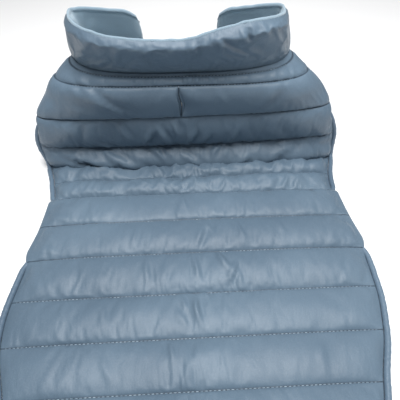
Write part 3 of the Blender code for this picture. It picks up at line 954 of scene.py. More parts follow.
@dataclass
class BackQuilt:
    """The back and yoke: one quilted piece with the leash slot cut through it."""

    form: CoatForm
    placing: Placing
    padding: Padding = Padding()
    run: ClothRun = ClothRun()
    flat_crown: float = 4.6
    bunched_crown: float = 1.6      # how much more the bunched channels below the crease puff
    strip_puff: float = 0.42        # share of a channel's puff in the strip under the collar
    hem_puff: float = 0.6           # and in the hem
    fold_gain: float = 1.4          # how strongly the creases show on the flat part
    standing_gain: float = 0.8      # and how much more on the standing part
    crease_dip: float = 1.5         # depth of the fold between the two parts
    crease_width: float = 2.6
    gather_rise: float = 1.2        # gathers under the collar seam
    gather_cell: float = 3.6
    gather_middle: float = 26.0     # where they are strongest, right of the middle
    gather_spread: float = 30.0
    inner_puff: float = 1.6
    lowest: float = 0.9             # the inner face's height over the surface it rests on
    groove_shade_reach: float = 1.3         # how far the painted shade of a stitched groove and of the crease fold reaches
    columns: int = 92               # from the slot to each edge
    slot_angle: float = -2.2
    slot_half_angle: float = 0.95
    slot_top: float = 15.0
    slot_bottom: float = 53.0
    rim_reach: float = 1.2          # how far the sewn edge reaches towards the piping
    tuck_reach: float = 5.6         # how far the edge covers the piping where it rolls under
    tuck_lift: float = 3.6
    tuck_hollow: float = 5.4        # how far its inner face rises over the piping

    CREASES = (
        # the first channel, left and right of the slot
        Crease(-72, 30, 52, 74, 3.6, 2.6, 4), Crease(-92, 22, 60, 40, 3.0, 1.3),
        Crease(-58, 46, 40, 26, 2.6, 1.5), Crease(-100, 40, 66, 44, 4.0, 1.0),
        Crease(40, 26, 24, 24, 3.0, 0.6), Crease(84, 30, -38, 46, 4.4, 0.9),
        # gathers under the collar seam
        Crease(10, 8, 8, 13, 1.8, 0.9), Crease(17, 8, 14, 14, 1.7, 1.3),
        Crease(24, 9, 10, 14, 2.0, 1.5), Crease(31, 8, 20, 13, 1.6, 1.1),
        Crease(-22, 8, -10, 12, 2.0, 0.7), Crease(-38, 9, -16, 12, 2.2, 0.8),
        Crease(48, 8, 16, 12, 2.2, 0.6), Crease(64, 9, 22, 14, 2.2, 0.8),
        # the second channel
        Crease(-36, 74, -30, 30, 3.2, 1.9, 2), Crease(-20, 72, 22, 32, 3.0, 1.6),
        Crease(-6, 64, 12, 22, 2.4, 1.8), Crease(8, 76, -28, 28, 3.0, 1.7),
        Crease(22, 80, -34, 24, 2.6, 1.3), Crease(-58, 70, 30, 28, 3.4, 1.1),
        Crease(52, 78, -24, 26, 2.8, 1.2), Crease(-84, 86, 70, 34, 3.0, 0.9),
        # the third channel, over the crease
        Crease(-66, 118, 64, 60, 4.0, 2.0, 3), Crease(-30, 106, 40, 26, 3.0, 1.2),
        Crease(6, 116, 58, 34, 3.2, 1.4), Crease(34, 104, -40, 26, 2.8, 1.2),
        Crease(62, 118, -60, 40, 3.4, 1.5), Crease(-106, 121, 74, 76, 3.4, -2.6),
        Crease(100, 116, -70, 44, 3.4, 1.0),
        # bunched channels below the crease
        Crease(-96, 152, 66, 54, 3.4, 2.2), Crease(-60, 146, 50, 30, 2.6, 1.8),
        Crease(-34, 158, 34, 26, 2.4, 1.9), Crease(-12, 150, -44, 30, 2.8, 2.1),
        Crease(10, 160, 52, 30, 2.6, 1.6), Crease(38, 148, -56, 36, 3.0, 1.7),
        Crease(72, 156, -66, 44, 3.2, 1.3), Crease(104, 150, -58, 36, 2.8, 1.1),
        Crease(-30, 186, 38, 30, 2.4, 1.7), Crease(-16, 194, -36, 24, 2.2, 1.5),
        Crease(2, 184, 30, 24, 2.2, 1.6), Crease(-52, 190, 52, 28, 2.6, 1.1),
        Crease(30, 192, -30, 22, 2.4, 0.9), Crease(80, 188, -62, 34, 3.0, 0.7),
        # the flat back
        Crease(-8, 236, 16, 22, 2.2, 0.9), Crease(50, 240, -24, 20, 2.4, 0.6),
        Crease(-54, 276, -12, 22, 2.2, 0.9), Crease(6, 278, -22, 24, 2.6, 1.3),
        Crease(14, 268, 30, 18, 2.2, 1.0), Crease(44, 276, 18, 22, 2.4, 1.0),
        Crease(82, 272, 14, 18, 2.2, 0.7),
        Crease(-40, 314, 14, 26, 2.6, 0.9), Crease(-24, 318, -18, 24, 2.4, 0.8),
        Crease(2, 310, 14, 30, 2.8, 1.2), Crease(26, 308, 34, 30, 3.0, 2.3, 3),
        Crease(34, 318, -26, 26, 2.6, 1.9, -2), Crease(40, 322, 10, 16, 2.0, 1.0),
        Crease(-6, 346, 26, 22, 2.4, 1.1), Crease(4, 352, 14, 28, 2.6, 2.4, 2),
        Crease(-8, 358, 44, 22, 2.4, 1.3), Crease(12, 338, 40, 16, 2.2, 1.4),
        Crease(-70, 352, 24, 24, 3.0, 0.6), Crease(70, 344, -20, 22, 3.0, 0.6),
        Crease(-14, 386, 10, 18, 2.2, 0.8), Crease(96, 392, -18, 22, 3.0, 0.5),
        Crease(-60, 398, 30, 26, 3.2, 0.6), Crease(30, 430, -24, 26, 3.2, 0.8),
        Crease(-44, 444, 20, 28, 3.0, 0.9), Crease(64, 470, -30, 26, 3.0, 0.9),
        Crease(-20, 478, 34, 24, 2.8, 0.8),
        # the sides over the piping
        Crease(-126, 232, 66, 26, 2.4, 1.3), Crease(-128, 246, 74, 22, 2.0, 1.4),
        Crease(-132, 270, 60, 22, 2.2, 1.2), Crease(-130, 286, 70, 26, 2.2, 1.2),
        Crease(130, 262, -62, 24, 2.4, 0.9), Crease(132, 280, -70, 20, 2.2, 0.8),
    )

    def row_places(self) -> Array:
        """Returns how far down each row of the grid is, with more in the tail's hem."""
        form = self.form
        tail = np.array([0.0, 0.6, 1.4, 2.6, 4.4, 7.0, 10.0, 12.6, 14.4, 15.6, 16.4, 17.0, 17.5])
        extra = list(form.last_line + tail) + [self.slot_top, self.slot_bottom, form.back_length]
        return form.grid_rows(len(form.quilting_lines()) - 1, STRIP_ROWS + (13.5,), extra)

    def slot_share(self, down: Array, side: Side) -> Array:
        """Returns the edge of the slot, a narrow lens, as a share of the back's half-width."""
        into = np.clip((down - self.slot_top) / (self.slot_bottom - self.slot_top), 0, 1)
        past = np.maximum(self.slot_top - down, down - self.slot_bottom)
        half = 0.05 + self.slot_half_angle * np.sin(math.pi * into) ** 0.6 + ease(past / 12)
        return (self.slot_angle + side.value * half) / self.form.shoulder_angle

    def share_grid(self, rows: Array) -> Array:
        """Returns the share of the half-width at each point of the grid."""
        even = np.linspace(0, 1, self.columns + 1)
        crowded = 0.6 * even + 0.4 * (1 - (1 - even) ** 2)
        left = self.slot_share(rows, Side.LEFT)[:, None]
        right = self.slot_share(rows, Side.RIGHT)[:, None]
        to_left = -1 + (left + 1) * crowded
        to_right = 1 - (1 - right) * crowded
        return np.concatenate([to_left, to_right[:, ::-1]], axis=1)

    def tuck(self, down: Array) -> Array:
        """Returns 1 where the side rolls under and covers the piping, and 0 elsewhere."""
        return ease((down - 206) / 14) * ease((304 - down) / 22)

    def height(self, grid: PanelGrid, share: Array) -> Array:
        """Returns how far the outer face stands off the base surface."""
        form, pad = self.form, self.padding
        down, across = grid.down, grid.across
        flat = ease((down - form.crease) / 8)
        bunched = ease((down - form.crease) / 6) * ease((222 - down) / 14)
        flank = (1 - flat) * ease((np.abs(share) - 0.5) / 0.3)
        hem = np.where(down > form.last_line, self.hem_puff, 1.0)
        edge = 1 - np.abs(share) ** 14
        swell = self.swell(grid, edge, flank, hem)
        crown = pad.crown + (self.flat_crown - pad.crown) * flat + self.bunched_crown * bunched
        distance = form.line_distance(down)
        gain = self.fold_gain + self.standing_gain * (1 - flat) * ease((down - 50) / 10)
        folds = crease_field(self.CREASES, across, down) * np.clip(distance / 2.5, 0, 1)
        loose = pad.soft_folds(across, down) * (1 + 1.3 * bunched) * edge
        loose = loose * np.clip(distance / 5, 0, 1) + gain * folds
        small = pad.puckers(across, distance, form.line_side(down)) * edge * (1 + 0.6 * bunched)
        fold = np.exp(-((down - form.crease) / self.crease_width) ** 2)
        dip = (pad.groove_depth(distance) + self.crease_dip * fold) * edge
        band = np.where(down < form.band - 0.2, 0.15, 1.0)
        return (crown * swell + (loose + small) * band * hem + self.gathers(grid)
                - dip * (1 - 0.6 * flank))

    def swell(self, grid: PanelGrid, edge: Array, flank: Array, hem: Array) -> Array:
        """Works out how far the channels puff.

        Args:
            grid: The panel's grid.
            edge: Falls from 1 to 0 at the panel's two edges.
            flank: 1 on the standing part's flanks, where the channels are pulled flat.
            hem: Share of the puff in the tail's hem, 1 above it.

        Returns:
            The share of a channel's full height.
        """
        down, strip = grid.down, np.where(grid.down < self.form.first_strip, self.strip_puff, 1.0)
        beside = np.clip((down - self.slot_top) / 6, 0, 1) * np.clip(
            (self.slot_bottom - down) / 6, 0, 1)
        held = 1 - 0.85 * beside * np.exp(-(self.from_slot(grid) / 5.0) ** 1.5)
        swell = self.padding.pillow(self.form.channel_share(down)) * edge * held * strip * hem
        return swell * (1 - 0.5 * flank) + 0.42 * flank * edge * strip

    def from_slot(self, grid: PanelGrid) -> Array:
        """Returns the distance across to the slot."""
        return np.abs(grid.across - grid.across[:, [grid.across.shape[1] // 2]])

    def gathers(self, grid: PanelGrid) -> Array:
        """Returns the height of the gathers in the strip under the collar seam."""
        across, down = grid.across, grid.down
        strip = ease((down - self.form.band) / 2) * ease((self.form.first_strip - down) / 2.5)
        noise = SoftNoise(self.padding.seed + 70, self.gather_cell, 30.0)(across, down)
        pulled = 0.35 + np.exp(-((across - self.gather_middle) / self.gather_spread) ** 2)
        return self.gather_rise * (1 - 1.8 * np.abs(2 * noise - 1)) * pulled * strip

    def build(self, effects: CoatEffects) -> bpy.types.Object:
        """Builds the piece and dresses it.

        Args:
            effects: The coat's shader groups.

        Returns:
            The quilted back.
        """
        form = self.form
        rows = self.row_places()
        share = self.share_grid(rows)
        down = np.broadcast_to(rows[:, None], share.shape)
        base = form.back(share, down)
        grid = PanelGrid.measure(base, down, self.columns + 0.5)
        height = self.height(grid, share)
        outer = base + grid.normals * height[..., None]
        side = np.abs(share) ** 6
        outer[..., 2] += self.tuck(down) * self.tuck_lift * side
        outer = self.run.settle(outer, self.free(grid, share), self.loose(grid),
                                self.cloth_cells(down))
        inner = self.inner_face(grid, share, side)
        outer, inner, sheet = self.add_rims(outer, inner, grid)
        down = sheet[..., 0]
        faces, outside = wall_faces(self.cloth_cells(down))
        # painted shade in the stitched grooves and along the crease fold, carried by the seam
        # attribute
        beside = np.minimum(form.line_distance(down), np.abs(down - form.crease) / 3.0)
        near = np.exp(-beside / self.groove_shade_reach).ravel()
        points = np.concatenate([outer.reshape(-1, 3), inner.reshape(-1, 3)])
        return quilted_piece("back_quilt", "back_panel", self.placing, faces, outside,
                             sheet, points, near, effects)

    def inner_face(self, grid: PanelGrid, share: Array, side: Array) -> Array:
        """Works out the lining's side of the back.

        Args:
            grid: The panel's grid.
            share: Share of the half-width at each point.
            side: 1 at both edges and 0 over most of the width.

        Returns:
            Points that lie level at the collar seam and on the surface under the flat part.
        """
        form, down, base = self.form, grid.down, grid.base
        swell = self.padding.pillow(form.channel_share(down)) * (1 - side)
        level = unit(grid.normals * np.array([1.0, 1.0, 0.0]))
        through = np.where((down < form.band)[..., None], level, grid.normals)
        inner = base - through * (form.line_wall + self.inner_puff * swell)[..., None]
        lying = down > form.crease
        height = np.where(lying, self.lowest - 0.7 * swell,
                          np.maximum(inner[..., 2], self.lowest))
        inner = np.where(lying[..., None], base, inner)
        height = height + self.tuck(down) * self.tuck_hollow * ease((np.abs(share) - 0.9) / 0.06)
        return stack(inner[..., 0], inner[..., 1], height)

    def cloth_cells(self, down: Array) -> Array:
        """Returns which cells of the grid are cloth: all but the slot's."""
        cells = np.ones((down.shape[0] - 1, down.shape[1] - 1), bool)
        middle = (down.shape[1] - 1) // 2
        centres = (down[:-1, middle] + down[1:, middle]) / 2
        cells[(centres > self.slot_top) & (centres < self.slot_bottom), middle] = False
        return cells

    def loose(self, grid: PanelGrid) -> Array:
        """Returns where the cloth has most slack: over the crease and down the middle."""
        patches = SoftNoise(self.padding.seed + 60, 46.0, 40.0)(grid.across, grid.down)
        folded = ease((grid.down - 50) / 14) * ease((226 - grid.down) / 20)
        middle = np.exp(-((grid.across - 8) / 46) ** 2) * ease((grid.down - 50) / 20)
        return np.clip(0.04 + 0.5 * folded + 0.30 * middle + 0.7 * (patches - 0.45), 0, 1)

    def free(self, grid: PanelGrid, share: Array) -> Array:
        """Returns how freely each point moves: 0 at the stitching and the edges."""
        stitched = np.clip((self.form.line_distance(grid.down) - 0.3) / 1.6, 0, 1)
        edge = np.clip((1 - np.abs(share)) / 0.02, 0, 1)
        band = np.where(grid.down < self.form.band + 0.8, 0.0, 1.0)
        hem = np.clip((self.form.back_length - grid.down) / 8, 0, 1)
        slot = self.from_slot(grid)
        beside = (grid.down > self.slot_top - 2) & (grid.down < self.slot_bottom + 2)
        bound = np.where(beside, np.clip(slot / 2.4 - 0.6, 0, 1), 1.0)
        return stitched * edge * band * hem * bound

    def add_rims(self, outer: Array, inner: Array,
                 grid: PanelGrid) -> tuple[Array, Array, Array]:
        """Rounds both side edges over, further out where they cover the piping.

        Args:
            outer: Points of the outer face.
            inner: Points of the inner face.
            grid: The panel's grid.

        Returns:
            The outer face, the inner face, and the place down and across of their points.
        """
        tuck = self.tuck(grid.down[:, 0])
        reach = self.rim_reach + (self.tuck_reach - self.rim_reach) * tuck
        reach = np.where(grid.down[:, 0] < self.form.leg_top, 0.0, reach)
        sheet = np.stack([grid.down, grid.across], -1)
        for edge in (0, -1):
            beside = 1 if edge == 0 else -2
            outward = unit(grid.base[:, edge] - grid.base[:, beside])
            outer, inner, sheet = rolled_rim(outer, inner, sheet, edge, outward, reach)
        return outer, inner, sheet


def rolled_rim(outer: Array, inner: Array, sheet: Array, edge: int, outward: Array,
               reach: Array, turns: tuple[float, ...] = (35.0, 65.0, 90.0)
               ) -> tuple[Array, Array, Array]:
    """Adds columns past one edge of a wall that round it over.

    Args:
        outer: Points of the outer face.
        inner: Points of the inner face.
        sheet: Place down and across of the points.
        edge: 0 for the first column, -1 for the last.
        outward: Direction away from the panel at each row.
        reach: How far the rim stands out at each row.
        turns: How far round the rim each column is, in degrees.

    Returns:
        The outer face, the inner face and the places, with the new columns.
    """
    top, low = outer[:, edge], inner[:, edge]
    middle = (top + low) / 2
    through = unit(top - low)
    columns_top, columns_low, places = [], [], []
    for turn in np.radians(turns):
        away = outward * (reach * math.sin(turn))[:, None]
        columns_top.append(middle + (top - middle) * math.cos(turn) + away)
        columns_low.append(middle + (low - middle) * math.cos(turn) + away - through * 0.05)
        places.append(sheet[:, edge])
    if edge == 0:
        parts = [columns_top[::-1], columns_low[::-1], places[::-1]]
        faces = [np.stack(part, axis=1) for part in parts]
        return tuple(np.concatenate([new, old], axis=1)
                     for new, old in zip(faces, (outer, inner, sheet)))
    faces = [np.stack(part, axis=1) for part in (columns_top, columns_low, places)]
    return tuple(np.concatenate([old, new], axis=1)
                 for new, old in zip(faces, (outer, inner, sheet)))


def quilted_piece(name: str, node: str, placing: Placing, faces: Array, outside: int,
                  sheet: Array, points: Array, near: Array,
                  effects: CoatEffects) -> bpy.types.Object:
    """Args:
        name: Name of the piece.
        node: The frame's node that it stands for.
        placing: The coat's place in the frame.
        faces: Quads of its wall.
        outside: How many of them are on the outer side.
        sheet: Place down and across of each point of a face's grid.
        points: The outer face's points, then the inner face's.
        near: How near each point of a face is to stitching or a fold, which sets its painted shade
            and its fine crinkles.
        effects: The coat's shader groups.

    Returns:
        The panel.
    """
    uv = np.stack([sheet[..., 1].ravel(), sheet[..., 0].ravel()], -1) / 10
    made = new_mesh(name, placing.metres(points), faces, np.concatenate([uv, uv]),
                    np.concatenate([near, near]))
    made.data.materials.append(SHELL_CLOTH.material(effects))
    made.data.materials.append(LINING_CLOTH.material(effects))
    inside = np.zeros(len(made.data.polygons), np.int32)
    inside[outside:outside * 2] = 1
    made.data.polygons.foreach_set("material_index", inside)
    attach(made, BODY)
    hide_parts(node)
    return made


@dataclass
class FrontQuilt:
    """One front, from the shoulder seam and leg opening to the throat, down to the surface."""

    form: CoatForm
    placing: Placing
    side: Side
    padding: Padding = Padding(seed=21)
    columns: int = 64
    strip_puff: float = 0.42        # share of a channel's puff in the strip under the collar
    inner_puff: float = 1.6
    lowest: float = 0.35            # both faces' height over the surface at the hem
    groove_shade_reach: float = 0.9         # how far the painted shade of a stitched groove reaches
    hem_height: float = 4.6         # the hem's turned edge under the last line

    CREASES = (
        Crease(24, 30, 30, 30, 3.0, 1.4), Crease(52, 38, -34, 26, 3.0, 1.0),
        Crease(60, 74, 24, 28, 3.0, 1.2), Crease(78, 88, -20, 30, 3.2, 1.0),
        Crease(58, 112, 36, 34, 3.0, 1.3), Crease(84, 118, -44, 30, 3.0, 1.0),
        Crease(40, 120, 60, 30, 2.8, 1.0),
    )

    def row_places(self) -> Array:
        """Returns how far down each row is, with two rows past the end for the hem."""
        crease = self.form.crease
        extra = [crease, crease + 2.4, crease + self.hem_height]
        return self.form.grid_rows(FRONT_LINES, STRIP_ROWS, extra)

    def build(self, effects: CoatEffects) -> bpy.types.Object:
        """Builds the piece and dresses it.

        Args:
            effects: The coat's shader groups.

        Returns:
            The front.
        """
        form, turned = self.form, self.side is Side.LEFT
        rows = self.row_places()
        share = np.broadcast_to(np.linspace(0, 1, self.columns + 1), (len(rows), self.columns + 1))
        down = np.broadcast_to(rows[:, None], share.shape)
        held = np.minimum(down, form.crease)
        base = form.front(share, held, self.side)
        base[..., 2] -= down - held
        grid = PanelGrid.measure(base, down, 0, turned)
        pad, distance = self.padding, form.line_distance(down)
        body = (1 - np.abs(2 * share - 1) ** 12) * np.clip((form.crease - down) / 3, 0, 1)
        swell = pad.pillow(form.channel_share(down)) * body
        swell = swell * np.where(down < form.first_strip, self.strip_puff, 1.0)
        loose = pad.soft_folds(grid.across, down) + crease_field(self.CREASES, grid.across, down)
        small = pad.puckers(grid.across, distance, form.line_side(down))
        height = pad.crown * swell + (loose + small - pad.groove_depth(distance)) * body
        outer = base + grid.normals * height[..., None]
        inner = base - grid.normals * (form.line_wall + self.inner_puff * swell)[..., None]
        outer[..., 2] = np.maximum(outer[..., 2], self.lowest)
        inner[..., 2] = np.maximum(inner[..., 2], self.lowest)
        sheet = np.stack([grid.down, grid.across], -1)
        reach = np.where(rows < form.leg_top, 0.0, 1.2)
        outward = unit(base[:, 0] - base[:, 1])
        outer, inner, sheet = rolled_rim(outer, inner, sheet, 0, outward, reach)
        outward = unit(base[:, -1] - base[:, -2])
        outer, inner, sheet = rolled_rim(outer, inner, sheet, -1, outward, np.full(len(rows), 1.4))
        cells = np.ones((outer.shape[0] - 1, outer.shape[1] - 1), bool)
        faces, outside = wall_faces(cells, turned)
        # painted shade in the stitched grooves, carried by the seam attribute
        near = np.exp(-(form.line_distance(sheet[..., 0]) / self.groove_shade_reach)).ravel()
        points = np.concatenate([outer.reshape(-1, 3), inner.reshape(-1, 3)])
        where = self.side.name.lower()
        return quilted_piece(f"front_quilt_{where}", f"front_{where}", self.placing, faces,
                             outside, sheet, points, near, effects)


# ------------------------------------------------------------------ the collar
class TopEdge(NamedTuple):
    """How much higher or lower the collar's top is folded than its cut, at a place round it."""

    across: float
    lift: float


@dataclass
class Collar:
    """The padded stand collar and its lining, which is rolled over the top edge."""

    form: CoatForm
    placing: Placing
    run: ClothRun = ClothRun(frames=14, pressure=2.0, slack=0.06, most_out=1.8)
    wall: float = 6.0
    top_thinning: float = 2.9       # how much thinner the wall gets towards the top edge
    crown: float = 5.0
    crown_place: float = 2.9        # the larger, the higher up it is fullest, at the back
    side_place: float = 2.1         # how much lower it is fullest at the sides
    top_lean: float = 2.4           # how far the outer face leans in to the top edge
    seam_tuck: float = 1.6          # and to the neck seam
    corner: float = 12.0            # radius of the two top corners
    rows: int = 40
    columns: int = 330
    lining_rows: int = 22
    lining_wall: float = 1.1
    lining_flare: float = 3.2       # how far the lining leans out to the top edge
    lining_gap: float = 0.3
    gather_top: float = 1.1         # height of the gathers under the top edge
    gather_seam: float = 0.5        # and over the neck seam
    seed: int = 41

    TOP = (TopEdge(-92, 0), TopEdge(-52, -2.5), TopEdge(2, -3), TopEdge(12, -1), TopEdge(36, 5),
           TopEdge(62, 8), TopEdge(90, 5), TopEdge(114, 0))

    # the lining's section: how far in from the base face and how far above its top edge
    ROLL = ((4.4, -1.8), (4.3, -0.4), (4.1, 0.5), (3.7, 1.1), (3.1, 1.4), (2.6, 1.2),
            (2.2, 0.8), (1.9, 0.2), (1.8, -0.5), (1.8, -1.2))

    # across from the middle of the back, and down from the top edge
    CREASES = (
        Crease(55, 9, 14, 22, 2.4, 2.6, 1), Crease(60, 8, -6, 14, 1.6, -1.6),
        Crease(35, 12, 12, 20, 2.4, 1.6), Crease(41, 16, 32, 24, 2.2, 1.1),
        Crease(74, 8, 22, 18, 2.6, 1.6), Crease(88, 16, 30, 26, 3.0, 1.2),
        Crease(12, 8, 10, 14, 2.4, 1.4), Crease(-6, 7, -14, 12, 2.0, 0.9),
        Crease(48, 24, 44, 32, 3.0, 1.3, 2), Crease(30, 28, 50, 26, 2.8, 0.9),
        Crease(66, 30, 50, 30, 3.4, 0.9), Crease(-30, 12, -20, 18, 3.0, 0.8),
        Crease(-54, 14, -34, 26, 3.4, 1.0), Crease(-84, 16, -40, 34, 3.4, 1.3),
        Crease(-92, 30, -60, 30, 2.8, 1.2), Crease(-78, 33, -64, 30, 2.4, 1.0),
        Crease(-70, 28, -50, 24, 2.6, 0.8), Crease(-104, 18, -20, 30, 3.2, 1.2),
        Crease(104, 22, 36, 30, 3.2, 1.0), Crease(-140, 20, 12, 26, 3.2, 1.0),
        Crease(140, 18, -16, 26, 3.2, 1.0), Crease(172, 22, 20, 22, 3.0, 0.8),
        Crease(-176, 20, -18, 22, 3.0, 0.8),
    )
    LINING_CREASES = (
        Crease(-118, 16, 6, 42, 2.2, 2.4), Crease(-126, 18, -8, 38, 2.4, 1.8),
        Crease(-110, 20, 12, 34, 2.0, 1.4), Crease(-150, 22, 24, 30, 4.0, 0.9),
        Crease(122, 14, -16, 34, 2.4, 1.9), Crease(130, 20, 8, 30, 2.6, 1.1),
        Crease(152, 20, -22, 28, 4.0, 0.7), Crease(0, 20, 20, 30, 4.0, 0.8),
        Crease(-60, 20, -24, 30, 4.0, 0.8), Crease(58, 22, 18, 30, 4.0, 0.8),
    )

    def angles(self, columns: int) -> Array:
        """Returns angles round the neck, closer together at the two ends."""
        share = np.linspace(-1, 1, columns + 1)
        crowded = share + 0.12 * np.sin(math.pi * share) / math.pi * 2
        return self.form.throat_angle * crowded / np.abs(crowded).max()

    def cut(self, angle: Array) -> Array:
        """Returns how much lower the top is inside the rounded corners."""
        nearer = np.where(angle < 0, -1.0, 1.0) * self.form.throat_angle
        end = self.form.collar(nearer, np.ones_like(angle))
        there = self.form.collar(angle, np.ones_like(angle))
        inside = np.minimum(np.linalg.norm(there - end, axis=-1), self.corner)
        return self.corner - np.sqrt(self.corner ** 2 - (self.corner - inside) ** 2)

    def surface(self, columns: int, levels: Array) -> tuple[Array, Array, Array, Array]:
        """Works out the collar's base face.

        Args:
            columns: Number of steps round the neck.
            levels: Shares of the height, from the top down.

        Returns:
            Points, horizontal outward directions, place across and place down from the top.
        """
        angle = np.broadcast_to(self.angles(columns), (len(levels), columns + 1))
        plain = self.form.collar(angle, np.broadcast_to(levels[:, None], angle.shape))
        across = PanelGrid.measure(plain, angle, columns / 2).across
        middle = across[len(levels) // 2]
        lower = self.cut(angle[0]) - read_table(self.TOP, "across", "lift", middle)
        lower = lower / self.form.collar_top(angle[0])
        level = levels[:, None] * (1 - lower)[None, :]
        base = self.form.collar(angle, level)
        outward = np.cross(np.gradient(base, axis=1), np.array([0.0, 0.0, 1.0]))
        outward[..., 2] = 0
        down = (level[:1] - level) * self.form.collar_top(angle)
        return base, unit(outward), np.broadcast_to(middle, angle.shape), down

    def unevenness(self, across: Array, down: Array, height: Array) -> Array:
        """Works out the soft folds, and the gathers at the top edge and the seam.

        Args:
            across: Distance of each place from the middle of the back.
            down: Distance of each place from the top edge.
            height: Height of the collar at each place round it.

        Returns:
            How far each place stands out, in millimetres.
        """
        pad = Padding(slack=0.8, seed=self.seed)
        gathers = 1 - np.abs(2 * SoftNoise(self.seed + 9, 5.0, 60.0)(across, down) - 1) * 1.6
        amount = 0.15 + 1.1 * SoftNoise(self.seed + 10, 30.0, 60.0)(across, down) ** 2
        right = 1 + 0.8 * ease((across - 10) / 20) * ease((100 - across) / 20)
        near_top = np.exp(-down / 6.5) * np.clip(down / 1.5, 0, 1)
        near_seam = np.exp(-(height - down) / 5.0)
        return (pad.soft_folds(across, down)
                + gathers * amount * (self.gather_top * right * near_top
                                      + self.gather_seam * near_seam))

    def build(self, effects: CoatEffects) -> list[bpy.types.Object]:
        """Builds the padded outer layer and the lining, and dresses them."""
        return [self.pad(effects), self.lining(effects)]

    def outer_face(self, base: Array, outward: Array, across: Array, down: Array,
                   step: Array) -> Array:
        """Works out the padded face, settled as cloth.

        Args:
            base: Points of the base face, rows down and columns round the neck.
            outward: Horizontal direction away from the neck at each point.
            across: Distance of each point from the middle of the back.
            down: Distance of each point from the top edge.
            step: Share of the height at each row, 1 at the top.

        Returns:
            Points of the face.
        """
        ends = 1 - np.abs(across / np.abs(across).max()) ** 30
        aside = np.abs(np.sin(np.radians(self.angles(self.columns)))) ** 4
        place = self.crown_place - self.side_place * aside
        swell = np.sin(math.pi * step ** place) ** 0.8
        lean = (self.top_lean * ease((step - 0.82) / 0.18)
                + self.seam_tuck * (1 - 2 * aside) * (1 - step) ** 3)
        folds = self.unevenness(across, down, down[-1:])
        folds = folds + crease_field(self.CREASES, across, down)
        free = np.clip(step * 9, 0, 1) * np.clip((1 - step) * 12, 0, 1)
        rise = self.crown * swell * (1 - 0.2 * aside) + folds * free
        face = base + outward * (rise * ends - lean)[..., None]
        patches = SoftNoise(self.seed + 30, 24.0, 30.0)(across, down)
        right = ease((across - 6) / 20) * ease((110 - across) / 20)
        loose = np.clip(0.15 + 0.5 * right + 0.8 * (patches - 0.4), 0, 1)
        return self.run.settle(face, free * ends, loose,
                               np.ones((face.shape[0] - 1, face.shape[1] - 1), bool))

    def pad(self, effects: CoatEffects) -> bpy.types.Object:
        """Builds the padded outer layer."""
        levels = smooth_steps(1, 0, self.rows, crowd=0.5)
        base, outward, across, down = self.surface(self.columns, levels)
        step = levels[:, None]
        outer = self.outer_face(base, outward, across, down, step)
        wall = self.wall - self.top_thinning * ease((step - 0.7) / 0.3)
        inner = base - outward * wall[..., None]
        faces = [np.swapaxes(part, 0, 1) for part in (outer, inner, np.stack([down, across], -1))]
        up = np.broadcast_to(np.array([0.0, 0.0, 1.0]), faces[0][:, 0].shape)
        for edge, away, reach in ((0, up, 0.3), (-1, -up, 1.1)):
            faces = rolled_rim(*faces, edge, away, np.full(len(up), reach))
        outer, inner, sheet = (np.swapaxes(part, 0, 1) for part in faces)
        for edge, beside in ((0, 1), (-1, -2)):
            away = unit(inner[:, edge] - inner[:, beside])
            outer, inner, sheet = rolled_rim(outer, inner, sheet, edge, away,
                                             np.full(len(outer), 1.6))
        faces, _ = wall_faces(np.ones((outer.shape[0] - 1, outer.shape[1] - 1), bool))
        uv = np.stack([sheet[..., 1].ravel(), sheet[..., 0].ravel()], -1) / 10
        # painted shade at the neck seam under the padded collar
        near = np.exp(-np.abs(down[-1:].max() - sheet[..., 0]) / 1.5).ravel()
        points = np.concatenate([outer.reshape(-1, 3), inner.reshape(-1, 3)])
        made = new_mesh("collar_pad", self.placing.metres(points), faces,
                        np.concatenate([uv, uv]), np.concatenate([near, np.zeros_like(near)]))
        made.data.materials.append(SHELL_CLOTH.material(effects))
        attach(made, BODY)
        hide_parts("collar_shell")
        return made

    def lining(self, effects: CoatEffects) -> bpy.types.Object:
        """Builds the lining, from the neck seam up the inside and over the top edge."""
        levels = smooth_steps(1, 0, self.lining_rows)
        columns = self.columns
        base, outward, across, down = self.surface(columns, levels)
        fold = crease_field(self.LINING_CREASES, across, down)
        soft = SoftNoise(self.seed + 20, 26.0, 22.0)(across, down) - 0.5
        loose = (np.maximum(fold, -0.6) + 1.4 * soft + 0.7) * np.clip(down / 6, 0, 1)
        flare = self.lining_flare * (1 - ease(down / 24))
        depth = self.wall + self.lining_gap + self.lining_wall - flare + loose
        face = base - outward * depth[..., None]
        ripple = SoftNoise(self.seed + 21, 7.0, 5.0)(across[:1], 0 * down[:1]) - 0.5
        roll = []
        for inward, rise in self.ROLL[::-1]:
            sway = np.array([0.0, 0.0, 1.0]) * (rise + 0.9 * ripple[..., None])
            roll.append(base[:1] - outward[:1] * inward + sway)
        points = np.concatenate(roll + [face[1:]], axis=0)
        back = np.zeros((len(roll), columns + 1))
        place = np.concatenate([back - np.arange(len(roll), 0, -1)[:, None] * 1.6, down[1:]])
        normals = grid_normals(points, turned=True)
        inner = points - normals * self.lining_wall
        uv = np.stack([np.broadcast_to(across[0], place.shape).ravel(), place.ravel()], -1) / 10
        # painted shade over the lining rolled across the top edge, which the overhead light makes
        # too bright
        near = np.where(place < 0, 0.7, 0.0).ravel()
        cells = np.ones((points.shape[0] - 1, points.shape[1] - 1), bool)
        faces, _ = wall_faces(cells, turned=True)
        both = np.concatenate([points.reshape(-1, 3), inner.reshape(-1, 3)])
        made = new_mesh("collar_facing", self.placing.metres(both), faces,
                        np.concatenate([uv, uv]), np.concatenate([near, near]))
        made.data.materials.append(LINING_CLOTH.material(effects))
        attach(made, BODY)
        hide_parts("collar_lining")
        return made


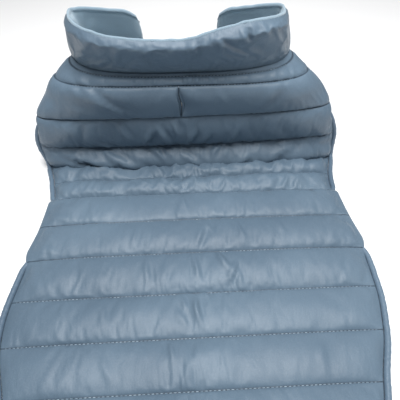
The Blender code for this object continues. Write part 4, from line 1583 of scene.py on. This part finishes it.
# ------------------------------------------------------------------ tubes and cords
def even_path(points: Array, step: float, *along: Array) -> list[Array]:
    """Spaces a path's points evenly.

    Args:
        points: The path.
        step: Distance between points.
        *along: Fields with a row for each point of the path.

    Returns:
        The new points and the fields at them.
    """
    lengths = np.concatenate([[0], np.cumsum(np.linalg.norm(np.diff(points, axis=0), axis=1))])
    places = np.linspace(0, lengths[-1], max(int(lengths[-1] / step), 4) + 1)

    def read(values: Array) -> Array:
        """Reads a field or points at the even places."""
        if values.ndim == 1:
            return np.interp(places, lengths, values)
        return np.stack([np.interp(places, lengths, v) for v in values.T], axis=1)

    return [read(points)] + [read(values) for values in along] + [places]


def smoothed(points: Array, reach: int) -> Array:
    """Returns a path averaged over its neighbours, with its ends kept."""
    kernel = np.hanning(2 * reach + 3)[1:-1]
    kernel = kernel / kernel.sum()
    padded = np.concatenate([np.repeat(points[:1], reach, 0), points,
                             np.repeat(points[-1:], reach, 0)])
    return np.stack([np.convolve(column, kernel, "valid") for column in padded.T], axis=1)


def tube_mesh(path: Array, up: Array, sides: int, wide: Array, high: Array,
              ripple: Array | None = None) -> tuple[Array, Array, Array]:
    """Works out a closed tube along a path.

    Args:
        path: Points along the middle.
        up: Direction of the tube's upper side at each point.
        sides: Points round the tube.
        wide: Half of its width at each point.
        high: Half of its height at each point.
        ripple: How far each point of the surface stands out, a row for each point of the path.

    Returns:
        Points, quads, and the place round and along of each point.
    """
    along = unit(np.gradient(path, axis=0))
    aside = unit(np.cross(along, up))
    over = np.cross(aside, along)
    turn = np.linspace(0, math.tau, sides, endpoint=False)
    ripple = np.zeros((len(path), sides)) if ripple is None else ripple
    across = np.cos(turn)[None, :] * (wide[:, None] + ripple)
    rise = np.sin(turn)[None, :] * (high[:, None] + ripple)
    body = path[:, None] + aside[:, None] * across[..., None] + over[:, None] * rise[..., None]
    rings = len(path)
    index = np.arange(rings * sides).reshape(rings, sides)
    beside = np.roll(index, -1, axis=1)
    faces = np.stack([index[:-1], beside[:-1], beside[1:], index[1:]], -1).reshape(-1, 4)
    half = sides // 2
    caps = []
    for ring, forward in ((index[0], False), (index[-1], True)):
        for step in range(half - 1):
            quad = [ring[step], ring[step + 1], ring[sides - 2 - step], ring[sides - 1 - step]]
            caps.append(quad if forward else quad[::-1])
    lengths = np.concatenate([[0], np.cumsum(np.linalg.norm(np.diff(path, axis=0), axis=1))])
    place = stack(turn[None, :] / math.tau, lengths[:, None], 0)[..., :2]
    return body.reshape(-1, 3), np.concatenate([faces, np.array(caps)]), place.reshape(-1, 2)


@dataclass
class EdgePiping:
    """Corded piping from one front's hem over the leg opening and round the tail."""

    form: CoatForm
    placing: Placing
    back: BackQuilt
    radius: float = 2.7
    clear: float = 1.2
    lift: float = 0.5
    step: float = 1.1
    sides: int = 14
    tuck_shift: float = 5.2
    wrap: float = 2.4               # how far apart the wrap's wrinkles are
    lean: float = 1.1               # how far they slant round the cord, in widths

    def edge(self, side: Side) -> tuple[Array, Array, Array, Array]:
        """Reads one side's edge, from the front's hem over the leg opening to the tail."""
        form = self.form
        downs = np.linspace(form.crease - 0.5, form.leg_top + 0.4, 90)
        small = 0.004

        def frame(surface, edge_share: float, down: Array, inward: float) -> tuple[Array, Array]:
            """Returns edge points and normals of a surface."""
            share = np.full_like(down, edge_share)
            here, there = surface(share, down), surface(share + inward * small, down)
            below = surface(share, down + 0.3)
            return here, unit(np.cross(below - here, (there - here) * inward))

        front, front_up = frame(lambda s, d: form.front(s, d, side), 0.0, downs, 1.0)
        front_up = front_up * side.value
        downs_back = np.concatenate([np.linspace(form.leg_top + 0.4, form.crease - 0.5, 90),
                                     np.linspace(form.crease + 0.5, form.back_length - 1, 500)])
        back, back_up = frame(form.back, float(side.value), downs_back, -float(side.value))
        lying = downs_back > form.crease
        back_up[lying] = (0, 0, 1)
        depth = np.where(lying, form.hem_wall / 2, form.line_wall / 2)
        return (np.concatenate([front, back]), np.concatenate([front_up, back_up]),
                np.concatenate([np.full(len(downs), form.line_wall / 2), depth]),
                np.concatenate([0 * downs, self.back.tuck(downs_back)]))

    def path(self) -> tuple[Array, Array, Array]:
        """Returns the cord's middle, its upper side, and how far it is tucked under."""
        left, right = self.edge(Side.LEFT), self.edge(Side.RIGHT)
        parts = [np.concatenate([one, other[::-1]]) for one, other in zip(left, right)]
        points, up, depth, tuck = parts
        points, up, depth, tuck, _ = even_path(points, self.step, up, depth, tuck)
        up = unit(smoothed(up, 5))
        along = unit(np.gradient(smoothed(points, 4), axis=0))
        inward = unit(np.cross(up, along))
        away = self.radius + self.clear - self.tuck_shift * tuck
        path = points - up * depth[:, None] - inward * away[:, None]
        path[:, 2] = np.maximum(path[:, 2], self.radius + self.lift)
        return smoothed(path, 4), up, tuck

    def build(self, effects: CoatEffects) -> bpy.types.Object:
        """Builds the cord with its slanting wrap wrinkles and dresses it."""
        path, up, _ = self.path()
        path, up, places = even_path(path, self.step, up)
        turn = np.linspace(0, 1, self.sides, endpoint=False)
        slant = places[:, None] + self.lean * self.wrap * 3 * np.abs(turn - 0.5)[None, :]
        noise = SoftNoise(61, self.wrap, 1.0)
        ripple = 0.34 * (noise(slant, 0 * slant) - 0.5)
        thick = SoftNoise(62, 40.0, 1.0)(places, 0 * places) - 0.5
        size = self.radius - 0.12 + 0.2 * thick
        points, faces, place = tube_mesh(path, up, self.sides, size, size, ripple)
        uv = place * np.array([1.7, 0.1])
        made = new_mesh("cord_piping", self.placing.metres(points), faces, uv,
                        np.zeros(len(points)))
        made.data.materials.append(PIPING_CLOTH.material(effects))
        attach(made, BODY)
        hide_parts("edge_piping")
        return made


@dataclass
class LeashSlot:
    """The two bound lips that close the leash slot."""

    form: CoatForm
    placing: Placing
    back: BackQuilt
    lip_wide: float = 1.3
    lip_high: float = 2.2
    sink: float = 0.9               # how far a lip's middle lies under the cloth's face

    def build(self, effects: CoatEffects) -> list[bpy.types.Object]:
        """Builds a lip on each side of the slot."""
        return [self.lip(side, effects) for side in Side]

    def lip(self, side: Side, effects: CoatEffects) -> bpy.types.Object:
        """Builds one lip, a narrow roll of cloth that tapers at its ends."""
        form, back = self.form, self.back
        down = np.linspace(back.slot_top + 0.4, back.slot_bottom - 0.4, 60)
        into = (down - down[0]) / (down[-1] - down[0])
        lens = np.sin(math.pi * into) ** 0.6
        share = np.full_like(down, back.slot_angle / form.shoulder_angle)
        middle = form.back(share, down)
        beside = form.back(share + 0.01, down)
        below = form.back(share, down + 0.3)
        right = unit(beside - middle)
        up = unit(np.cross(below - middle, right))
        swell = back.padding.pillow(form.channel_share(down))
        stand = back.padding.crown * swell * 0.15 - self.sink
        centre = middle + right * (side.value * (self.lip_wide * lens + 0.06))[:, None]
        centre = centre + up * stand[:, None]
        wide = self.lip_wide * (0.35 + 0.65 * lens)
        high = self.lip_high * (0.45 + 0.55 * lens)
        points, faces, place = tube_mesh(centre, up, 12, wide, high)
        uv = place * np.array([0.8, 0.1])
        # painted shade on the side of each lip that faces the slot's gap
        made = new_mesh(f"slot_binding_{side.name.lower()}", self.placing.metres(points), faces,
                        uv, self.shade(points, middle, right * side.value))
        made.data.materials.append(PIPING_CLOTH.material(effects))
        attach(made, BODY)
        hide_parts(f"slot_lip_{side.name.lower()}")
        return made


    def shade(self, points: Array, middle: Array, aside: Array) -> Array:
        """Returns the painted shade of a lip: 1 at the side that faces the slot's gap, falling to 0
        across its top.
        """
        rows = np.argmin(np.linalg.norm(points[:, None] - middle[None], axis=-1), axis=1)
        from_slot = np.sum((points - middle[rows]) * aside[rows], axis=-1)
        return np.clip(1.3 - from_slot / self.lip_wide, 0, 1)


# ------------------------------------------------------------------ stitches
@dataclass
class Stitching:
    """Rows of thread, each stitch a small spindle copied along its line."""

    placing: Placing
    finish: ThreadFinish = ThreadFinish()
    length: float = 2.2
    gap: float = 0.9
    radius: float = 0.24

    def one_stitch(self) -> tuple[Array, Array]:
        """Models a stitch along X and returns its points and triangles."""
        deselect()
        bpy.ops.mesh.primitive_uv_sphere_add(segments=6, ring_count=4, radius=0.5,
                                             rotation=(0, math.pi / 2, 0))
        made = bpy.context.object
        bpy.ops.object.transform_apply(location=True, rotation=True, scale=True)
        bpy.ops.object.mode_set(mode="EDIT")
        bpy.ops.mesh.select_all(action="SELECT")
        bpy.ops.transform.resize(value=(self.length, 2 * self.radius, 2 * self.radius))
        bpy.ops.mesh.quads_convert_to_tris()
        bpy.ops.object.mode_set(mode="OBJECT")
        points = np.array([vertex.co for vertex in made.data.vertices])
        faces = np.array([list(face.vertices) for face in made.data.polygons])
        bpy.data.objects.remove(made)
        return points, faces

    def sew(self, name: str, lines: list[tuple[Array, Array]]) -> bpy.types.Object:
        """Copies the stitch along each line and joins the copies.

        Args:
            name: Name of the piece.
            lines: Points and upward directions along each line, in millimetres.

        Returns:
            The stitches as one piece.
        """
        stitch, triangles = self.one_stitch()
        points, faces, count = [], [], 0
        for path, up in lines:
            path, up, _ = even_path(path, (self.length + self.gap) / 2, up)
            middle, upward = path[1:-1:2], unit(up[1:-1:2])
            along = unit(path[2::2][:len(middle)] - path[0:-2:2][:len(middle)])
            aside = unit(np.cross(upward, along))
            over = np.cross(along, aside)
            frames = np.stack([along, aside, over], axis=1)
            placed = middle[:, None] + np.einsum("vi,nij->nvj", stitch, frames)
            numbers = np.arange(len(middle)) * len(stitch) + count
            points.append(placed.reshape(-1, 3))
            faces.append((triangles[None] + numbers[:, None, None]).reshape(-1, 3))
            count += len(middle) * len(stitch)
        made = new_mesh(name, self.placing.metres(np.concatenate(points)), np.concatenate(faces))
        made.data.materials.append(self.finish.material())
        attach(made, BODY)
        return made


def back_lines(form: CoatForm, back: BackQuilt) -> list[tuple[Array, Array]]:
    """Returns the back's stitched lines, each broken where the leash slot meets it."""
    lines = []
    stand = 0.32 - back.padding.groove
    slot = back.slot_angle / form.shoulder_angle
    for line in [form.band] + form.quilting_lines():
        slotted = line in (form.first_strip, form.first_strip + form.channel)
        gap = 0.02 if slotted else 0.0
        runs = ((-0.985, slot - gap), (slot + gap, 0.985)) if slotted else ((-0.985, 0.985),)
        for start, end in runs:
            share = np.linspace(start, end, 300)
            down = np.full_like(share, line)
            here = form.back(share, down)
            beside = form.back(share + 0.002, down)
            below = form.back(share, down + 0.2)
            above = form.back(share, down - 0.2)
            up = unit(np.cross(below - above, beside - here))
            lines.append((here + up * stand, up))
    return lines


def front_lines(form: CoatForm, padding: Padding) -> list[tuple[Array, Array]]:
    """Returns the stitched lines of both fronts, each with its upward directions."""
    lines = []
    stand = 0.32 - padding.groove
    for side in Side:
        for line in [form.band] + form.quilting_lines()[:FRONT_LINES]:
            share = np.linspace(0.02, 0.96, 160)
            down = np.full_like(share, line)
            here = form.front(share, down, side)
            beside = form.front(share + 0.002, down, side)
            below = form.front(share, down + 0.2, side)
            up = unit(np.cross(below - here, beside - here)) * side.value
            lines.append((here + up * stand, up))
    return lines


# ------------------------------------------------------------------ the studio
@dataclass
class Studio:
    """A pale floor, soft light from above, and the camera over the tail end."""

    placing: Placing
    azimuth: float = -3.1
    elevation: float = 45.7
    lens: float = 36.0
    stand: tuple[float, float, float] = (-6.8, -347.6, 300.0)   # the camera, in millimetres

    def build(self) -> None:
        """Builds the floor, lights, world and camera."""
        self.floor()
        self.lights()
        self.camera()

    def floor(self) -> None:
        """Lays a large pale sheet just under the coat."""
        deselect()
        bpy.ops.mesh.primitive_plane_add(size=12.0, location=(0, 0, -0.0002))
        made = bpy.context.object
        made.name = "floor"
        material = bpy.data.materials.new("pale_floor")
        material.use_nodes = True
        make = NodeMaker(material.node_tree)
        shader = material.node_tree.nodes["Principled BSDF"]
        place = make.add("ShaderNodeTexCoord").outputs["Object"]
        grain = make.add("ShaderNodeTexNoise", {"Vector": place, "Scale": 3.0, "Detail": 2.0})
        white = make.mix(grain.outputs["Fac"], (0.95, 0.95, 0.95, 1), (0.97, 0.97, 0.97, 1))
        make.tree.links.new(white, shader.inputs["Base Color"])
        shader.inputs["Roughness"].default_value = 0.9
        shader.inputs["Specular IOR Level"].default_value = 0.1
        made.data.materials.append(material)

    def lights(self) -> None:
        """Hangs a wide soft light over the coat, a weak one on the right and one behind."""
        world = bpy.data.worlds.new("studio")
        world.use_nodes = True
        world.node_tree.nodes["Background"].inputs["Color"].default_value = (0.95, 0.97, 1, 1)
        world.node_tree.nodes["Background"].inputs["Strength"].default_value = 0.16
        bpy.context.scene.world = world
        for name, place, aim, size, power in (
                ("overhead", (0.05, -0.08, 1.15), (0.0, -0.02, 0.0), 0.7, 20.4),
                ("from_right", (1.3, -0.1, 0.7), (0.0, 0.0, 0.05), 0.5, 0.7),
                ("from_behind", (0.3, 1.3, 0.8), (0.0, 0.15, 0.1), 0.9, 1.2)):
            light = bpy.data.lights.new(name, "AREA")
            light.size = size
            light.energy = power
            made = bpy.data.objects.new(name, light)
            bpy.context.scene.collection.objects.link(made)
            made.location = place
            made.rotation_mode = "QUATERNION"
            made.rotation_quaternion = (Vector(aim) - Vector(place)).to_track_quat("-Z", "Y")

    def camera(self) -> None:
        """Places the camera."""
        data = bpy.data.cameras.new("camera")
        data.lens, data.sensor_width = self.lens, 36.0
        data.clip_start, data.clip_end = 0.01, 50.0
        made = bpy.data.objects.new("camera", data)
        bpy.context.scene.collection.objects.link(made)
        azimuth, elevation = math.radians(self.azimuth), math.radians(self.elevation)
        forward = Vector((-math.sin(azimuth) * math.cos(elevation),
                          math.cos(azimuth) * math.cos(elevation), -math.sin(elevation)))
        made.location = Vector(self.placing.metres(np.array(self.stand)))
        made.rotation_mode = "QUATERNION"
        made.rotation_quaternion = forward.to_track_quat("-Z", "Y")
        bpy.context.scene.camera = made
        bpy.context.scene.view_settings.view_transform = "Standard"


def main() -> None:
    """Loads the frame and builds every piece of the coat around it."""
    logging.basicConfig(level=logging.INFO, format="%(name)s: %(message)s")
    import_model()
    form = CoatForm()
    placing = Placing(form)
    Studio(placing).build()
    effects = CoatEffects()
    back = BackQuilt(form, placing)
    fronts = [FrontQuilt(form, placing, side) for side in Side]
    pieces = [back.build(effects)] + [front.build(effects) for front in fronts]
    pieces += Collar(form, placing).build(effects)
    pieces.append(EdgePiping(form, placing, back).build(effects))
    pieces += LeashSlot(form, placing, back).build(effects)
    stitching = Stitching(placing)
    pieces.append(stitching.sew("quilting_stitches", back_lines(form, back)))
    pieces.append(stitching.sew("front_stitches", front_lines(form, fronts[0].padding)))
    for piece in pieces:
        LOG.info("%s: %d faces", piece.name, len(piece.data.polygons))


if __name__ == "__main__":
    main()
